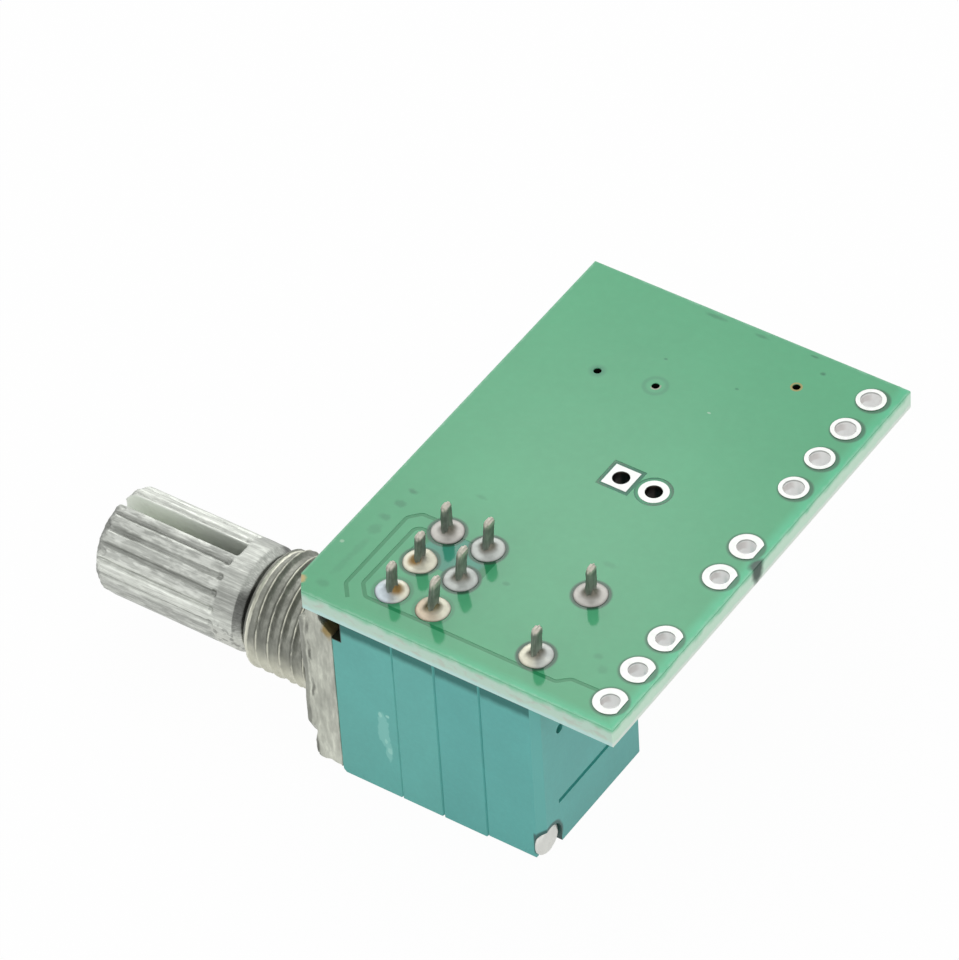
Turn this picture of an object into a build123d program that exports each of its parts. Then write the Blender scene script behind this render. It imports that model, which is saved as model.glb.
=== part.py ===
from build123d import *
import os
from math import cos, radians, sin

os.makedirs("parts", exist_ok=True)

# A small audio amplifier board carried by its volume control, in millimetres.
# The origin is the centre of the control's mounting face, where the threaded
# bushing starts. The shaft lies along X with its knob end at -X. The board
# lies above it in the XY plane, solder side up.

# Circuit board
board_width = 19.6
board_length = 28.5
board_thickness = 1.2
board_front_x = -0.15
board_near_y = -4.9
corner_cut_x = 0.75
corner_cut_y = 1.1
copper_rise = 0.04
border_right = 0.75
border_near = 0.45
gap_line_width = 0.22
mask_gap = 0.22
via_radius = 0.22

# Wire pads along the board's right edge, in rows of four, two and three. The
# four are round. The others are cut flat on the side that faces the edge.
wire_pitch = 2.54
round_edge_distance = 1.39
flat_edge_distance = 1.19
wire_far_inset = 1.66
wire_middle_end = 9.45
wire_near_end = 1.81
wire_row_counts = [4, 2, 3]
round_pad_radius = 0.81
round_hole_radius = 0.58
flat_pad_radius = 0.9
flat_hole_radius = 0.52
flat_cut_distance = 0.72
barrel_wall = 0.05
pad_thickness = 0.04

# Empty place for a capacitor: a square pad and a round one
capacitor_x = 10.05
capacitor_from_chip = 6.4
capacitor_pitch = 2.0
capacitor_square_width = 1.52
capacitor_pad_radius = 0.82
capacitor_hole_radius = 0.48

# Volume control: heights and lengths along the shaft axis
shaft_height = 7.0
body_width = 9.4
body_depth = 4.4
standoff_height = 0.15
standoff_radius = 0.4
standoff_inset = 0.8
mounting_pad_length = 0.5
plate_length = 1.6
plate_lift = 0.2
plate_corner_radius = 0.15
plate_foot_radius = 0.45
front_gang_length = 3.8
set_back_height = 1.4
set_back_depth = 0.6
foot_bevel = 0.25
rear_gang_length = 2.55
switch_length = 2.75
cover_length = 3.45
cover_lift = 0.15
seam_bevel = 0.08
web_thickness = 0.5

# Bushing and shaft
bushing_radius = 3.4
bushing_length = 5.0
shaft_length = 15.0
shaft_radius = 3.0
knurl_length = 7.9
slot_length = 8.0
slot_width = 0.95
slot_tilt = 2.0
tooth_count = 20
tooth_depth = 0.27
tooth_turn = 1.3
tip_chamfer = 0.45
collar_end = 5.9
shoulder_end = 5.35
shoulder_radius = 2.75
journal_radius = 2.5
journal_clearance = 0.03
drive_radius = 2.2
drive_half_flats = 1.7
drive_end = 11.4
fit_clearance = 0.02

# Terminals, rotors and wipers
pin_row_spacing = 2.5
pin_pitch = 2.5
front_row_x = 4.58
switch_row_x = 13.35
switch_pin_pitch = 5.0
pin_width = 0.7
pin_thickness = 0.3
switch_pin_width = 0.7
switch_pin_thickness = 0.2
front_pin_rise = 2.05
rear_pin_rise = 2.3
switch_pin_rise = 2.1
pin_hole_radius = 0.55
pin_slot_clearance = 0.04
joint_radius = 0.92
joint_height = 0.5
element_thickness = 0.6
rotor_radius = 2.75
rotor_thickness = 0.7
lug_radius = 3.45
wiper_thickness = 0.12
wiper_gap = 0.04
cavity_radius = 3.65
seat_radius = 4.1
spigot_clearance = 0.03
stop_angle = 300.0
lug_angle = 22.0
stop_margin = 1.0
stop_clearance = 0.12

# Rivet posts of the cast plate
post_radius = 0.5
post_hole_clearance = 0.05
post_inset = 0.75
post_low_z = -3.4
post_high_z = 5.7
post_head_radius = 0.85
post_head_height = 0.35
post_head_chamfer = 0.15
notch_depth = 0.45
notch_gap = 0.1

# Parts on the hidden component side
chip_length = 9.9
chip_width = 3.9
chip_height = 1.45
chip_lift = 0.12
chip_x = 9.3
chip_far_inset = 6.8
mark_inset = 0.9
lead_pitch = 1.27
leads_per_side = 8
lead_width = 0.42
lead_thickness = 0.2
lead_span = 6.0
passive_length = 1.6
passive_width = 0.8
passive_end = 0.3
capacitor_height = 0.8
resistor_height = 0.45
left_column_x = 3.2
second_column_x = 5.4
right_column_x = 14.6
near_row_gap = 3.5
far_row_inset = 3.0
resistor_columns = [7.4, 12.0]
turned_resistor_x = 15.2
far_resistor_x = 16.0
far_resistor_inset = 2.0
via_columns = [4.62, 7.85, 14.2]
via_rises = [-0.3, 0.3, 4.0]

# Places worked out from the sizes above
under_z = shaft_height
top_z = shaft_height + board_thickness
base_z = top_z - copper_rise
board_back_x = board_front_x + board_width
board_far_y = board_near_y + board_length
half_width = body_width / 2
post_y = half_width - post_inset
body_top = shaft_height - standoff_height
plate_back = mounting_pad_length + plate_length
rear_gang_x = plate_back + front_gang_length
switch_x = rear_gang_x + rear_gang_length
cover_x = switch_x + switch_length
body_end = cover_x + cover_length
rear_row_x = front_row_x + pin_row_spacing
round_x = board_back_x - round_edge_distance
flat_x = board_back_x - flat_edge_distance
wire_row_x = [round_x, flat_x, flat_x]
wire_row_ends = [board_far_y - wire_far_inset, wire_middle_end, wire_near_end]
wire_places = [
    (x, end - wire_pitch * n)
    for x, end, count in zip(wire_row_x, wire_row_ends, wire_row_counts)
    for n in range(count)
]
round_places = wire_places[:wire_row_counts[0]]
flat_places = wire_places[wire_row_counts[0]:]
flat_cuts = [(x + flat_cut_distance, y) for x, y in flat_places]
gang_pins = [-pin_pitch, 0, pin_pitch]
switch_pins = [-switch_pin_pitch / 2, switch_pin_pitch / 2]
joint_places = [(x, y) for x in (front_row_x, rear_row_x) for y in gang_pins]
joint_places += [(switch_row_x, y) for y in switch_pins]
capacitor_barrel_radius = capacitor_hole_radius + barrel_wall
chip_y = board_far_y - chip_far_inset
capacitor_y = chip_y - capacitor_from_chip
capacitor_places = [(capacitor_x, capacitor_y), (capacitor_x + capacitor_pitch, capacitor_y)]
via_places = [(x, chip_y + rise) for x, rise in zip(via_columns, via_rises)]
near_row_y = half_width + near_row_gap
middle_row_y = (near_row_y + chip_y) / 2
resistor_row_y = (half_width + capacitor_y) / 2
capacitor_chips = [
    (left_column_x, near_row_y, 90),
    (second_column_x, near_row_y, 90),
    (left_column_x, middle_row_y, 90),
    (left_column_x, board_far_y - far_row_inset, 90),
    (right_column_x, middle_row_y, 0),
    (right_column_x, chip_y, 0),
]
resistor_chips = [(x, resistor_row_y, 0) for x in resistor_columns]
resistor_chips.append((turned_resistor_x, near_row_y, 90))
resistor_chips.append((far_resistor_x, board_far_y - far_resistor_inset, 90))
rest_angle = 90 - slot_tilt


def finish(part, name):
    part.label = name
    export_step(part, f"parts/{name}.step")


# Circuit board: a sheet with a clipped corner. The copper layer under the
# solder mask stands a little proud, so its gaps are shallow recesses.
with BuildPart() as circuit_board:
    with BuildSketch(Plane.XY.offset(under_z)):
        with BuildLine():
            Polyline(
                (board_front_x + corner_cut_x, board_near_y),
                (board_back_x, board_near_y),
                (board_back_x, board_far_y),
                (board_front_x, board_far_y),
                (board_front_x, board_near_y + corner_cut_y),
                close=True,
            )
        make_face()
    extrude(amount=board_thickness)
    # Recesses: two edges with no copper, the frame round the capacitor pads, a
    # bare patch between the pins, and two lines, one of which runs to the last pad
    low_gap_y = -pin_pitch - joint_radius - 0.1
    outer_line_x = front_row_x - joint_radius - 1.45
    inner_line_x = front_row_x - joint_radius - 0.7
    with BuildSketch(Plane.XY.offset(base_z)):
        with BuildLine():
            FilletPolyline(
                (front_row_x, pin_pitch + 0.45),
                (outer_line_x + 0.55, pin_pitch + 0.4),
                (outer_line_x, pin_pitch - 0.2),
                (outer_line_x, low_gap_y + 0.3),
                (outer_line_x + 0.65, low_gap_y - 0.5),
                radius=0.35,
            )
        trace(line_width=gap_line_width)
        with BuildLine():
            FilletPolyline(
                (front_row_x, pin_pitch - 0.45),
                (inner_line_x + 0.05, pin_pitch - 0.5),
                (inner_line_x, low_gap_y + 0.75),
                (inner_line_x + 0.65, low_gap_y),
                (switch_row_x + 1.8, low_gap_y),
                (switch_row_x + 2.4, low_gap_y + 0.55),
                (flat_x, low_gap_y + 0.6),
                radius=0.4,
            )
        trace(line_width=gap_line_width)
        with Locations((board_back_x, board_near_y)):
            Rectangle(board_width, border_near, align=(Align.MAX, Align.MIN))
            Rectangle(border_right, board_length, align=(Align.MAX, Align.MIN))
        with Locations((front_row_x + pin_row_spacing / 2, pin_pitch / 2)):
            Rectangle(pin_row_spacing + 2 * joint_radius, pin_pitch)
        with Locations(capacitor_places[0]):
            Rectangle(*[capacitor_square_width + 2 * mask_gap] * 2)
        with Locations(capacitor_places[1]):
            Circle(capacitor_pad_radius + mask_gap)
        with Locations(*round_places):
            Circle(round_pad_radius, mode=Mode.SUBTRACT)
        with Locations(*flat_places):
            Circle(flat_pad_radius, mode=Mode.SUBTRACT)
        with Locations(*flat_cuts):
            Rectangle(flat_pad_radius, 2 * flat_pad_radius, align=(Align.MIN, Align.CENTER))
        with Locations(*joint_places):
            Circle(joint_radius, mode=Mode.SUBTRACT)
    extrude(amount=copper_rise, mode=Mode.SUBTRACT)
    with BuildSketch(Plane.XY.offset(under_z)):
        with Locations(*joint_places):
            Circle(pin_hole_radius)
        with Locations(*round_places):
            Circle(round_hole_radius + barrel_wall)
        with Locations(*flat_places):
            Circle(flat_hole_radius + barrel_wall)
        with Locations(*capacitor_places):
            Circle(capacitor_barrel_radius)
        with Locations(*via_places):
            Circle(via_radius)
    extrude(amount=board_thickness, mode=Mode.SUBTRACT)
finish(circuit_board.part, "circuit_board")

# Tinned wire pads: a ring on each face joined by the plated hole
with BuildPart() as wire_pads:
    for z in (under_z - pad_thickness, top_z):
        with BuildSketch(Plane.XY.offset(z)):
            with Locations(*round_places):
                Circle(round_pad_radius)
            with Locations(*flat_places):
                Circle(flat_pad_radius)
        extrude(amount=pad_thickness)
    with BuildSketch(Plane.XY.offset(under_z)):
        with Locations(*round_places):
            Circle(round_hole_radius + barrel_wall)
        with Locations(*flat_places):
            Circle(flat_hole_radius + barrel_wall)
    extrude(amount=board_thickness)
    with BuildSketch(Plane.XY.offset(under_z - pad_thickness)):
        with Locations(*flat_cuts):
            Rectangle(flat_pad_radius, 2 * flat_pad_radius, align=(Align.MIN, Align.CENTER))
        with Locations(*round_places):
            Circle(round_hole_radius)
        with Locations(*flat_places):
            Circle(flat_hole_radius)
    extrude(amount=board_thickness + 2 * pad_thickness, mode=Mode.SUBTRACT)
finish(wire_pads.part, "wire_pads")

# Pads of the empty capacitor place, one square and one round
with BuildPart() as capacitor_pads:
    for z in (under_z - pad_thickness, base_z):
        with BuildSketch(Plane.XY.offset(z)):
            with Locations(capacitor_places[0]):
                Rectangle(capacitor_square_width, capacitor_square_width)
            with Locations(capacitor_places[1]):
                Circle(capacitor_pad_radius)
        extrude(amount=pad_thickness)
    with BuildSketch(Plane.XY.offset(under_z)):
        with Locations(*capacitor_places):
            Circle(capacitor_barrel_radius)
    extrude(amount=board_thickness)
    with BuildSketch(Plane.XY.offset(under_z - pad_thickness)):
        with Locations(*capacitor_places):
            Circle(capacitor_hole_radius)
    extrude(amount=board_thickness + 2 * pad_thickness, mode=Mode.SUBTRACT)
finish(capacitor_pads.part, "capacitor_pads")

# Cast zinc plate: mounting pad, plate, threaded bushing (plain here, at its
# crest size) and the two rivet posts that hold the wafers
recess_radius = 3.45
recess_depth = 0.65
plate_low_z = -body_depth + plate_lift
with BuildPart() as front_plate:
    with BuildSketch(Plane.YZ.offset(mounting_pad_length)):
        with Locations((0, plate_low_z)):
            Rectangle(body_width, body_top - plate_low_z, align=(Align.CENTER, Align.MIN))
    extrude(amount=plate_length)
    low_corners = front_plate.edges().filter_by(Axis.X).group_by(Axis.Z)[0]
    fillet(low_corners, radius=plate_corner_radius)
    with BuildSketch(Plane.YZ):
        Circle(half_width + 0.35)
        with Locations((0, 0)):
            Rectangle(body_width, body_top - 0.9, align=(Align.CENTER, Align.MIN))
        with Locations((0, plate_low_z + plate_foot_radius)):
            Rectangle(
                body_width,
                body_top - plate_low_z,
                align=(Align.CENTER, Align.MIN),
                mode=Mode.INTERSECT,
            )
    extrude(amount=mounting_pad_length)
    front_edges = front_plate.faces().filter_by(Axis.X).sort_by(Axis.X)[0].edges()
    fillet(front_edges, radius=0.2)
    # Rounded foot, and a slope behind the top edge, which leaves the dark gap
    # by the board
    with BuildSketch(Plane.XZ.offset(-half_width)):
        with BuildLine():
            Polyline(
                (plate_back, body_top - 1.35),
                (plate_back, body_top),
                (plate_back - 0.8, body_top),
                (plate_back - 0.75, body_top - 0.6),
                close=True,
            )
        make_face()
        with Locations((mounting_pad_length, plate_low_z)):
            Rectangle(plate_foot_radius, plate_foot_radius, align=(Align.MIN, Align.MIN))
        with Locations((mounting_pad_length + plate_foot_radius, plate_low_z + plate_foot_radius)):
            Circle(plate_foot_radius, mode=Mode.SUBTRACT)
    extrude(amount=body_width, mode=Mode.SUBTRACT)
    with BuildSketch(Plane.YZ.offset(mounting_pad_length)):
        Circle(bushing_radius)
    extrude(amount=-mounting_pad_length - bushing_length)
    chamfer(front_plate.faces().filter_by(Axis.X).sort_by(Axis.X)[0].edges(), length=0.35)
    with BuildSketch(Plane.YZ.offset(plate_back)):
        with Locations((-post_y, post_low_z), (post_y, post_high_z)):
            Circle(post_radius)
    extrude(amount=body_end - notch_depth - plate_back)
    with BuildSketch(Plane.YZ.offset(body_end - notch_depth)):
        with Locations((-post_y, post_low_z), (post_y, post_high_z)):
            Circle(post_head_radius)
    extrude(amount=post_head_height)
    heads = front_plate.faces().filter_by(Axis.X).sort_by(Axis.X)[-2:]
    chamfer(heads.edges(), length=post_head_chamfer)
    with BuildSketch(Plane.YZ.offset(-bushing_length)):
        Circle(journal_radius + journal_clearance)
    extrude(amount=bushing_length + plate_back, mode=Mode.SUBTRACT)
    with BuildSketch(Plane.YZ.offset(plate_back)):
        Circle(recess_radius)
    extrude(amount=-recess_depth, mode=Mode.SUBTRACT)
    mouth = front_plate.edges().filter_by(GeomType.CIRCLE).group_by(Axis.X)[0].sort_by(SortBy.RADIUS)[0]
    chamfer(mouth, length=0.3)
finish(front_plate.part, "front_plate")

# Shaft: knurled and slotted knob end, plain collar with a sloped shoulder,
# journal in the bushing, ring groove, and a drive end with two flats
ring_thickness = 0.4
ring_gap = 0.03
groove_start = plate_back - recess_depth + ring_gap
groove_radius = 2.0
with BuildPart() as volume_shaft:
    with BuildSketch(Plane.XZ):
        with BuildLine():
            Polyline(
                (-shaft_length, 0),
                (-shaft_length, shaft_radius - tip_chamfer),
                (-shaft_length + tip_chamfer, shaft_radius),
                (-collar_end, shaft_radius),
                (-shoulder_end, shoulder_radius),
                (-shoulder_end, journal_radius),
                (groove_start, journal_radius),
                (groove_start, groove_radius),
                (groove_start + ring_thickness + fit_clearance, groove_radius),
                (groove_start + ring_thickness + fit_clearance, drive_radius),
                (drive_end - 0.2, drive_radius),
                (drive_end, drive_radius - 0.2),
                (drive_end, 0),
                close=True,
            )
        make_face()
    revolve(axis=Axis.X)
    with BuildSketch(Plane.YZ.offset(-shaft_length)):
        with PolarLocations(shaft_radius, tooth_count, start_angle=rest_angle + tooth_turn):
            RegularPolygon(radius=tooth_depth, side_count=4)
    extrude(amount=knurl_length, mode=Mode.SUBTRACT)
    with BuildSketch(Plane.YZ.offset(-shaft_length)):
        Rectangle(2 * shaft_radius + 1, slot_width, rotation=rest_angle)
    extrude(amount=slot_length, mode=Mode.SUBTRACT)
    flats_start = groove_start + ring_thickness + fit_clearance + 0.3
    with BuildSketch(Plane.YZ.offset(flats_start)):
        flat_centre = drive_half_flats + drive_radius / 2
        with PolarLocations(flat_centre, 2, start_angle=rest_angle + 90):
            Rectangle(drive_radius, 2 * drive_radius)
    extrude(amount=drive_end - flats_start, mode=Mode.SUBTRACT)
finish(volume_shaft.part, "volume_shaft")

# Spring steel ring that keeps the shaft in the bushing
ring_radius = recess_radius - 0.2
with BuildPart() as retaining_ring:
    with BuildSketch(Plane.YZ.offset(groove_start)):
        Circle(ring_radius)
        Circle(groove_radius + fit_clearance, mode=Mode.SUBTRACT)
        with Locations((0, -ring_radius / 2)):
            Rectangle(2 * groove_radius - 0.6, ring_radius + 0.2, mode=Mode.SUBTRACT)
        with PolarLocations(ring_radius - 0.35, 2, start_angle=0):
            Circle(0.3, mode=Mode.SUBTRACT)
    extrude(amount=ring_thickness)
finish(retaining_ring.part, "retaining_ring")


def box_section(low_z, high_z):
    with Locations((0, low_z)):
        Rectangle(body_width, high_z - low_z, align=(Align.CENTER, Align.MIN))


def post_holes():
    with Locations((-post_y, post_low_z), (post_y, post_high_z)):
        Circle(post_radius + post_hole_clearance)


def pin_slots(x, pins, width, thickness):
    with Locations(*[(x, y) for y in pins]):
        Rectangle(thickness + 2 * pin_slot_clearance, width + 2 * pin_slot_clearance)


def standoffs(x):
    with Locations((x, -half_width + standoff_inset), (x, half_width - standoff_inset)):
        Circle(standoff_radius)


web_hole_radius = drive_radius + 0.4
spigot_radius = seat_radius - spigot_clearance


def element_face(row_x):
    return row_x - pin_thickness / 2 - element_thickness


def wiper_start(row_x):
    return element_face(row_x) - wiper_gap - 2 * wiper_thickness


def gang_housing(start, end, row_x, spigot_start):
    # A moulded wafer: web in front, rotor cavity, then the seat for the
    # resistor element. The second wafer's web is on a spigot that reaches
    # into the first.
    with BuildPart() as housing:
        with BuildSketch(Plane.YZ.offset(start)):
            box_section(-body_depth, body_top)
        extrude(amount=end - start)
        bevel = seam_bevel / 2 if spigot_start < start else seam_bevel
        for face in housing.faces().filter_by(Axis.X):
            size = bevel if face.center().X < (start + end) / 2 else seam_bevel
            chamfer(face.edges(), length=size)
        web_start = min(spigot_start, start)
        if spigot_start < start:
            with BuildSketch(Plane.YZ.offset(spigot_start)):
                Circle(spigot_radius)
            extrude(amount=start - spigot_start)
        with BuildSketch(Plane.YZ.offset(web_start)):
            Circle(web_hole_radius)
        extrude(amount=end - web_start, mode=Mode.SUBTRACT)
        with BuildSketch(Plane.YZ.offset(web_start + web_thickness)):
            Circle(cavity_radius)
        extrude(amount=end - web_start - web_thickness, mode=Mode.SUBTRACT)
        with BuildSketch(Plane.YZ.offset(element_face(row_x))):
            Circle(seat_radius)
        extrude(amount=end - element_face(row_x), mode=Mode.SUBTRACT)
        with BuildSketch(Plane.YZ.offset(start)):
            post_holes()
        extrude(amount=end - start, mode=Mode.SUBTRACT)
        with BuildSketch(Plane.XY.offset(web_hole_radius)):
            pin_slots(row_x, gang_pins, pin_width, pin_thickness)
        extrude(amount=body_top, mode=Mode.SUBTRACT)
    return housing


# Front wafer, with a block whose two ends stop the rotor's lug, a set-back at
# its top edge and a bevel at its foot. The block ends short of the wiper,
# which sweeps past it.
stop_block_angle = 360 - stop_angle - lug_angle - 2 * stop_margin
stop_middle = rest_angle - stop_margin - lug_angle / 2 - stop_block_angle / 2
stop_inner_radius = rotor_radius + stop_clearance
front_cavity = plate_back + web_thickness
with BuildPart() as front_gang_housing:
    add(gang_housing(plate_back, rear_gang_x, front_row_x, plate_back).part)
    with BuildSketch(Plane.YZ.offset(front_cavity)):
        with BuildLine():
            start_angle = stop_middle - stop_block_angle / 2
            inner = CenterArc((0, 0), stop_inner_radius, start_angle, stop_block_angle)
            outer = CenterArc((0, 0), cavity_radius + 0.1, start_angle, stop_block_angle)
            Line(inner @ 0, outer @ 0)
            Line(inner @ 1, outer @ 1)
        make_face()
    extrude(amount=wiper_start(front_row_x) - stop_clearance - front_cavity)
    with BuildSketch(Plane.YZ.offset(plate_back)):
        with Locations((0, body_top)):
            Rectangle(body_width, set_back_height, align=(Align.CENTER, Align.MAX))
    extrude(amount=set_back_depth, mode=Mode.SUBTRACT)
    with BuildSketch(Plane.XZ.offset(-half_width)):
        with Locations((plate_back, -body_depth)):
            RegularPolygon(radius=foot_bevel, side_count=4)
    extrude(amount=body_width, mode=Mode.SUBTRACT)
    with BuildSketch(Plane.XY.offset(body_top)):
        standoffs(plate_back + 1.2)
    extrude(amount=standoff_height)
finish(front_gang_housing.part, "front_gang_housing")

rear_spigot_x = front_row_x + pin_thickness / 2 + fit_clearance
rear_gang_housing = gang_housing(rear_gang_x, switch_x, rear_row_x, rear_spigot_x)
finish(rear_gang_housing.part, "rear_gang_housing")

# Switch wafer: a spigot that clamps the rear element, and the cam's cavity
switch_spigot_x = rear_row_x + pin_thickness / 2 + fit_clearance
with BuildPart() as switch_housing:
    with BuildSketch(Plane.YZ.offset(switch_x)):
        box_section(-body_depth, body_top)
    extrude(amount=switch_length)
    for face in switch_housing.faces().filter_by(Axis.X):
        chamfer(face.edges(), length=seam_bevel)
    with BuildSketch(Plane.YZ.offset(switch_spigot_x)):
        Circle(spigot_radius)
    extrude(amount=switch_x - switch_spigot_x)
    with BuildSketch(Plane.YZ.offset(switch_spigot_x)):
        Circle(web_hole_radius)
    extrude(amount=cover_x - switch_spigot_x, mode=Mode.SUBTRACT)
    with BuildSketch(Plane.YZ.offset(switch_spigot_x + web_thickness)):
        Circle(cavity_radius)
    extrude(amount=cover_x - switch_spigot_x - web_thickness, mode=Mode.SUBTRACT)
    with BuildSketch(Plane.YZ.offset(switch_x)):
        post_holes()
    extrude(amount=switch_length, mode=Mode.SUBTRACT)
finish(switch_housing.part, "switch_housing")

# Rear cover: contact chamber, corner notches round the swaged posts, a
# groove and a small blind hole on the back face, and one rounded corner
cover_wall = 0.75
leaf_width = 0.7
cam_lobe_radius = 3.0
leaf_thickness = 0.15
leaf_z = cam_lobe_radius + 0.05
chamber_half = switch_pin_pitch / 2 + switch_pin_width / 2 + 0.15
groove_z = -1.25
groove_inset = 1.6
groove_width = 0.3
groove_depth = 0.15
dimple_z = 3.8
dimple_inset = 2.0
dimple_radius = 0.29
dimple_depth = 0.5
cover_corner_radius = 0.5
back_chamfer = 0.4
with BuildPart() as rear_cover:
    with BuildSketch(Plane.YZ.offset(cover_x)):
        box_section(-body_depth + cover_lift, body_top)
    extrude(amount=cover_length)
    back_face = rear_cover.faces().sort_by(Axis.X)[-1]
    chamfer(back_face.edges().filter_by(Axis.Z), length=back_chamfer)
    low_edges = rear_cover.edges().filter_by(Axis.X).group_by(Axis.Z)[0]
    fillet(low_edges.sort_by(Axis.Y)[-1], radius=cover_corner_radius)
    seam_face = rear_cover.faces().sort_by(Axis.X)[0]
    chamfer(seam_face.edges(), length=seam_bevel)
    with BuildSketch(Plane.YZ.offset(cover_x)):
        Circle(cavity_radius)
        with Locations((0, leaf_z + 0.9)):
            Rectangle(2 * chamber_half, leaf_z + 0.9, align=(Align.CENTER, Align.MAX))
    extrude(amount=cover_length - cover_wall, mode=Mode.SUBTRACT)
    with BuildSketch(Plane.YZ.offset(cover_x)):
        post_holes()
    extrude(amount=cover_length, mode=Mode.SUBTRACT)
    with BuildSketch(Plane.YZ.offset(body_end - notch_depth)):
        notch_radius = post_head_radius + notch_gap
        with Locations((-post_y, post_low_z)):
            Circle(notch_radius)
            Rectangle(2 * notch_radius, body_depth + post_low_z, align=(Align.CENTER, Align.MAX))
        with Locations((post_y, post_high_z)):
            Circle(notch_radius)
            Rectangle(2 * notch_radius, body_top - post_high_z, align=(Align.CENTER, Align.MIN))
    extrude(amount=notch_depth, mode=Mode.SUBTRACT)
    with BuildSketch(Plane.YZ.offset(body_end - groove_depth)):
        with Locations((-half_width + groove_inset, groove_z)):
            Rectangle(body_width - 2 * groove_inset, groove_width, align=(Align.MIN, Align.CENTER))
    extrude(amount=groove_depth, mode=Mode.SUBTRACT)
    with BuildSketch(Plane.YZ.offset(body_end - dimple_depth)):
        with Locations((-half_width + dimple_inset, dimple_z)):
            Circle(dimple_radius)
    extrude(amount=dimple_depth, mode=Mode.SUBTRACT)
    with BuildSketch(Plane.XY.offset(leaf_z + 0.6)):
        pin_slots(switch_row_x, switch_pins, switch_pin_width, switch_pin_thickness)
    extrude(amount=body_top, mode=Mode.SUBTRACT)
    with BuildSketch(Plane.XY.offset(body_top)):
        standoffs(cover_x + 1.0)
    extrude(amount=standoff_height)
finish(rear_cover.part, "rear_cover")


def resistor_element(row_x):
    # Phenolic disc, printed with the resistor's carbon track on its front face
    with BuildPart() as element:
        with BuildSketch(Plane.YZ.offset(element_face(row_x))):
            Circle(seat_radius - spigot_clearance)
            Circle(web_hole_radius, mode=Mode.SUBTRACT)
        extrude(amount=element_thickness)
    return element


front_resistor_element = resistor_element(front_row_x)
finish(front_resistor_element.part, "front_resistor_element")
rear_resistor_element = resistor_element(rear_row_x)
finish(rear_resistor_element.part, "rear_resistor_element")


def terminal_row(row_x, pin_top):
    # Three stamped blades that lie on the element's back and stand up
    # through the board, with narrowed tips
    with BuildPart() as row:
        with BuildSketch(Plane.YZ.offset(row_x - pin_thickness / 2)):
            for y in gang_pins:
                low_z = web_hole_radius + 0.2 if y == 0 else 1.2
                with Locations((y, low_z)):
                    Rectangle(pin_width, pin_top - low_z, align=(Align.CENTER, Align.MIN))
        extrude(amount=pin_thickness)
        tips = row.faces().filter_by(Axis.Z).group_by(Axis.Z)[-1]
        chamfer(tips.edges().filter_by(Axis.X), length=0.15)
    return row


front_terminals = terminal_row(front_row_x, top_z + front_pin_rise)
finish(front_terminals.part, "front_terminals")
rear_terminals = terminal_row(rear_row_x, top_z + rear_pin_rise)
finish(rear_terminals.part, "rear_terminals")


def drive_hole():
    # The shaft's section with two flats, with its fit clearance
    flat_width = 2 * (drive_half_flats + fit_clearance)
    with BuildSketch(mode=Mode.PRIVATE) as hole:
        Circle(drive_radius + fit_clearance)
        Rectangle(2 * drive_radius + 1, flat_width, rotation=rest_angle, mode=Mode.INTERSECT)
    return hole.sketch


def rotor(row_x, with_lug):
    # Moulded disc driven by the shaft's flats. The front one has the lug
    # that meets the stops at both ends of the turn.
    with BuildPart() as disc:
        with BuildSketch(Plane.YZ.offset(wiper_start(row_x) - rotor_thickness)):
            Circle(rotor_radius)
            if with_lug:
                with BuildLine():
                    start_angle = rest_angle - lug_angle / 2
                    inner = CenterArc((0, 0), rotor_radius - 0.3, start_angle, lug_angle)
                    outer = CenterArc((0, 0), lug_radius, start_angle, lug_angle)
                    Line(inner @ 0, outer @ 0)
                    Line(inner @ 1, outer @ 1)
                make_face()
            add(drive_hole(), mode=Mode.SUBTRACT)
        extrude(amount=rotor_thickness)
    return disc


front_rotor = rotor(front_row_x, True)
finish(front_rotor.part, "front_rotor")
rear_rotor = rotor(rear_row_x, False)
finish(rear_rotor.part, "rear_rotor")


def wiper(row_x):
    # Bronze spring washer with two fingers that end in contact pips
    with BuildPart() as spring:
        with BuildSketch(Plane.YZ.offset(wiper_start(row_x))):
            Circle(rotor_radius)
            Circle(web_hole_radius - 0.1, mode=Mode.SUBTRACT)
            with PolarLocations(rotor_radius + 0.3, 2, start_angle=rest_angle):
                Rectangle(0.7, 0.5)
        extrude(amount=wiper_thickness)
        with BuildSketch(Plane.YZ.offset(wiper_start(row_x) + wiper_thickness)):
            with PolarLocations(rotor_radius + 0.35, 2, start_angle=rest_angle):
                Circle(0.15)
        extrude(amount=wiper_thickness)
    return spring


front_wiper = wiper(front_row_x)
finish(front_wiper.part, "front_wiper")
rear_wiper = wiper(rear_row_x)
finish(rear_wiper.part, "rear_wiper")

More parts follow.
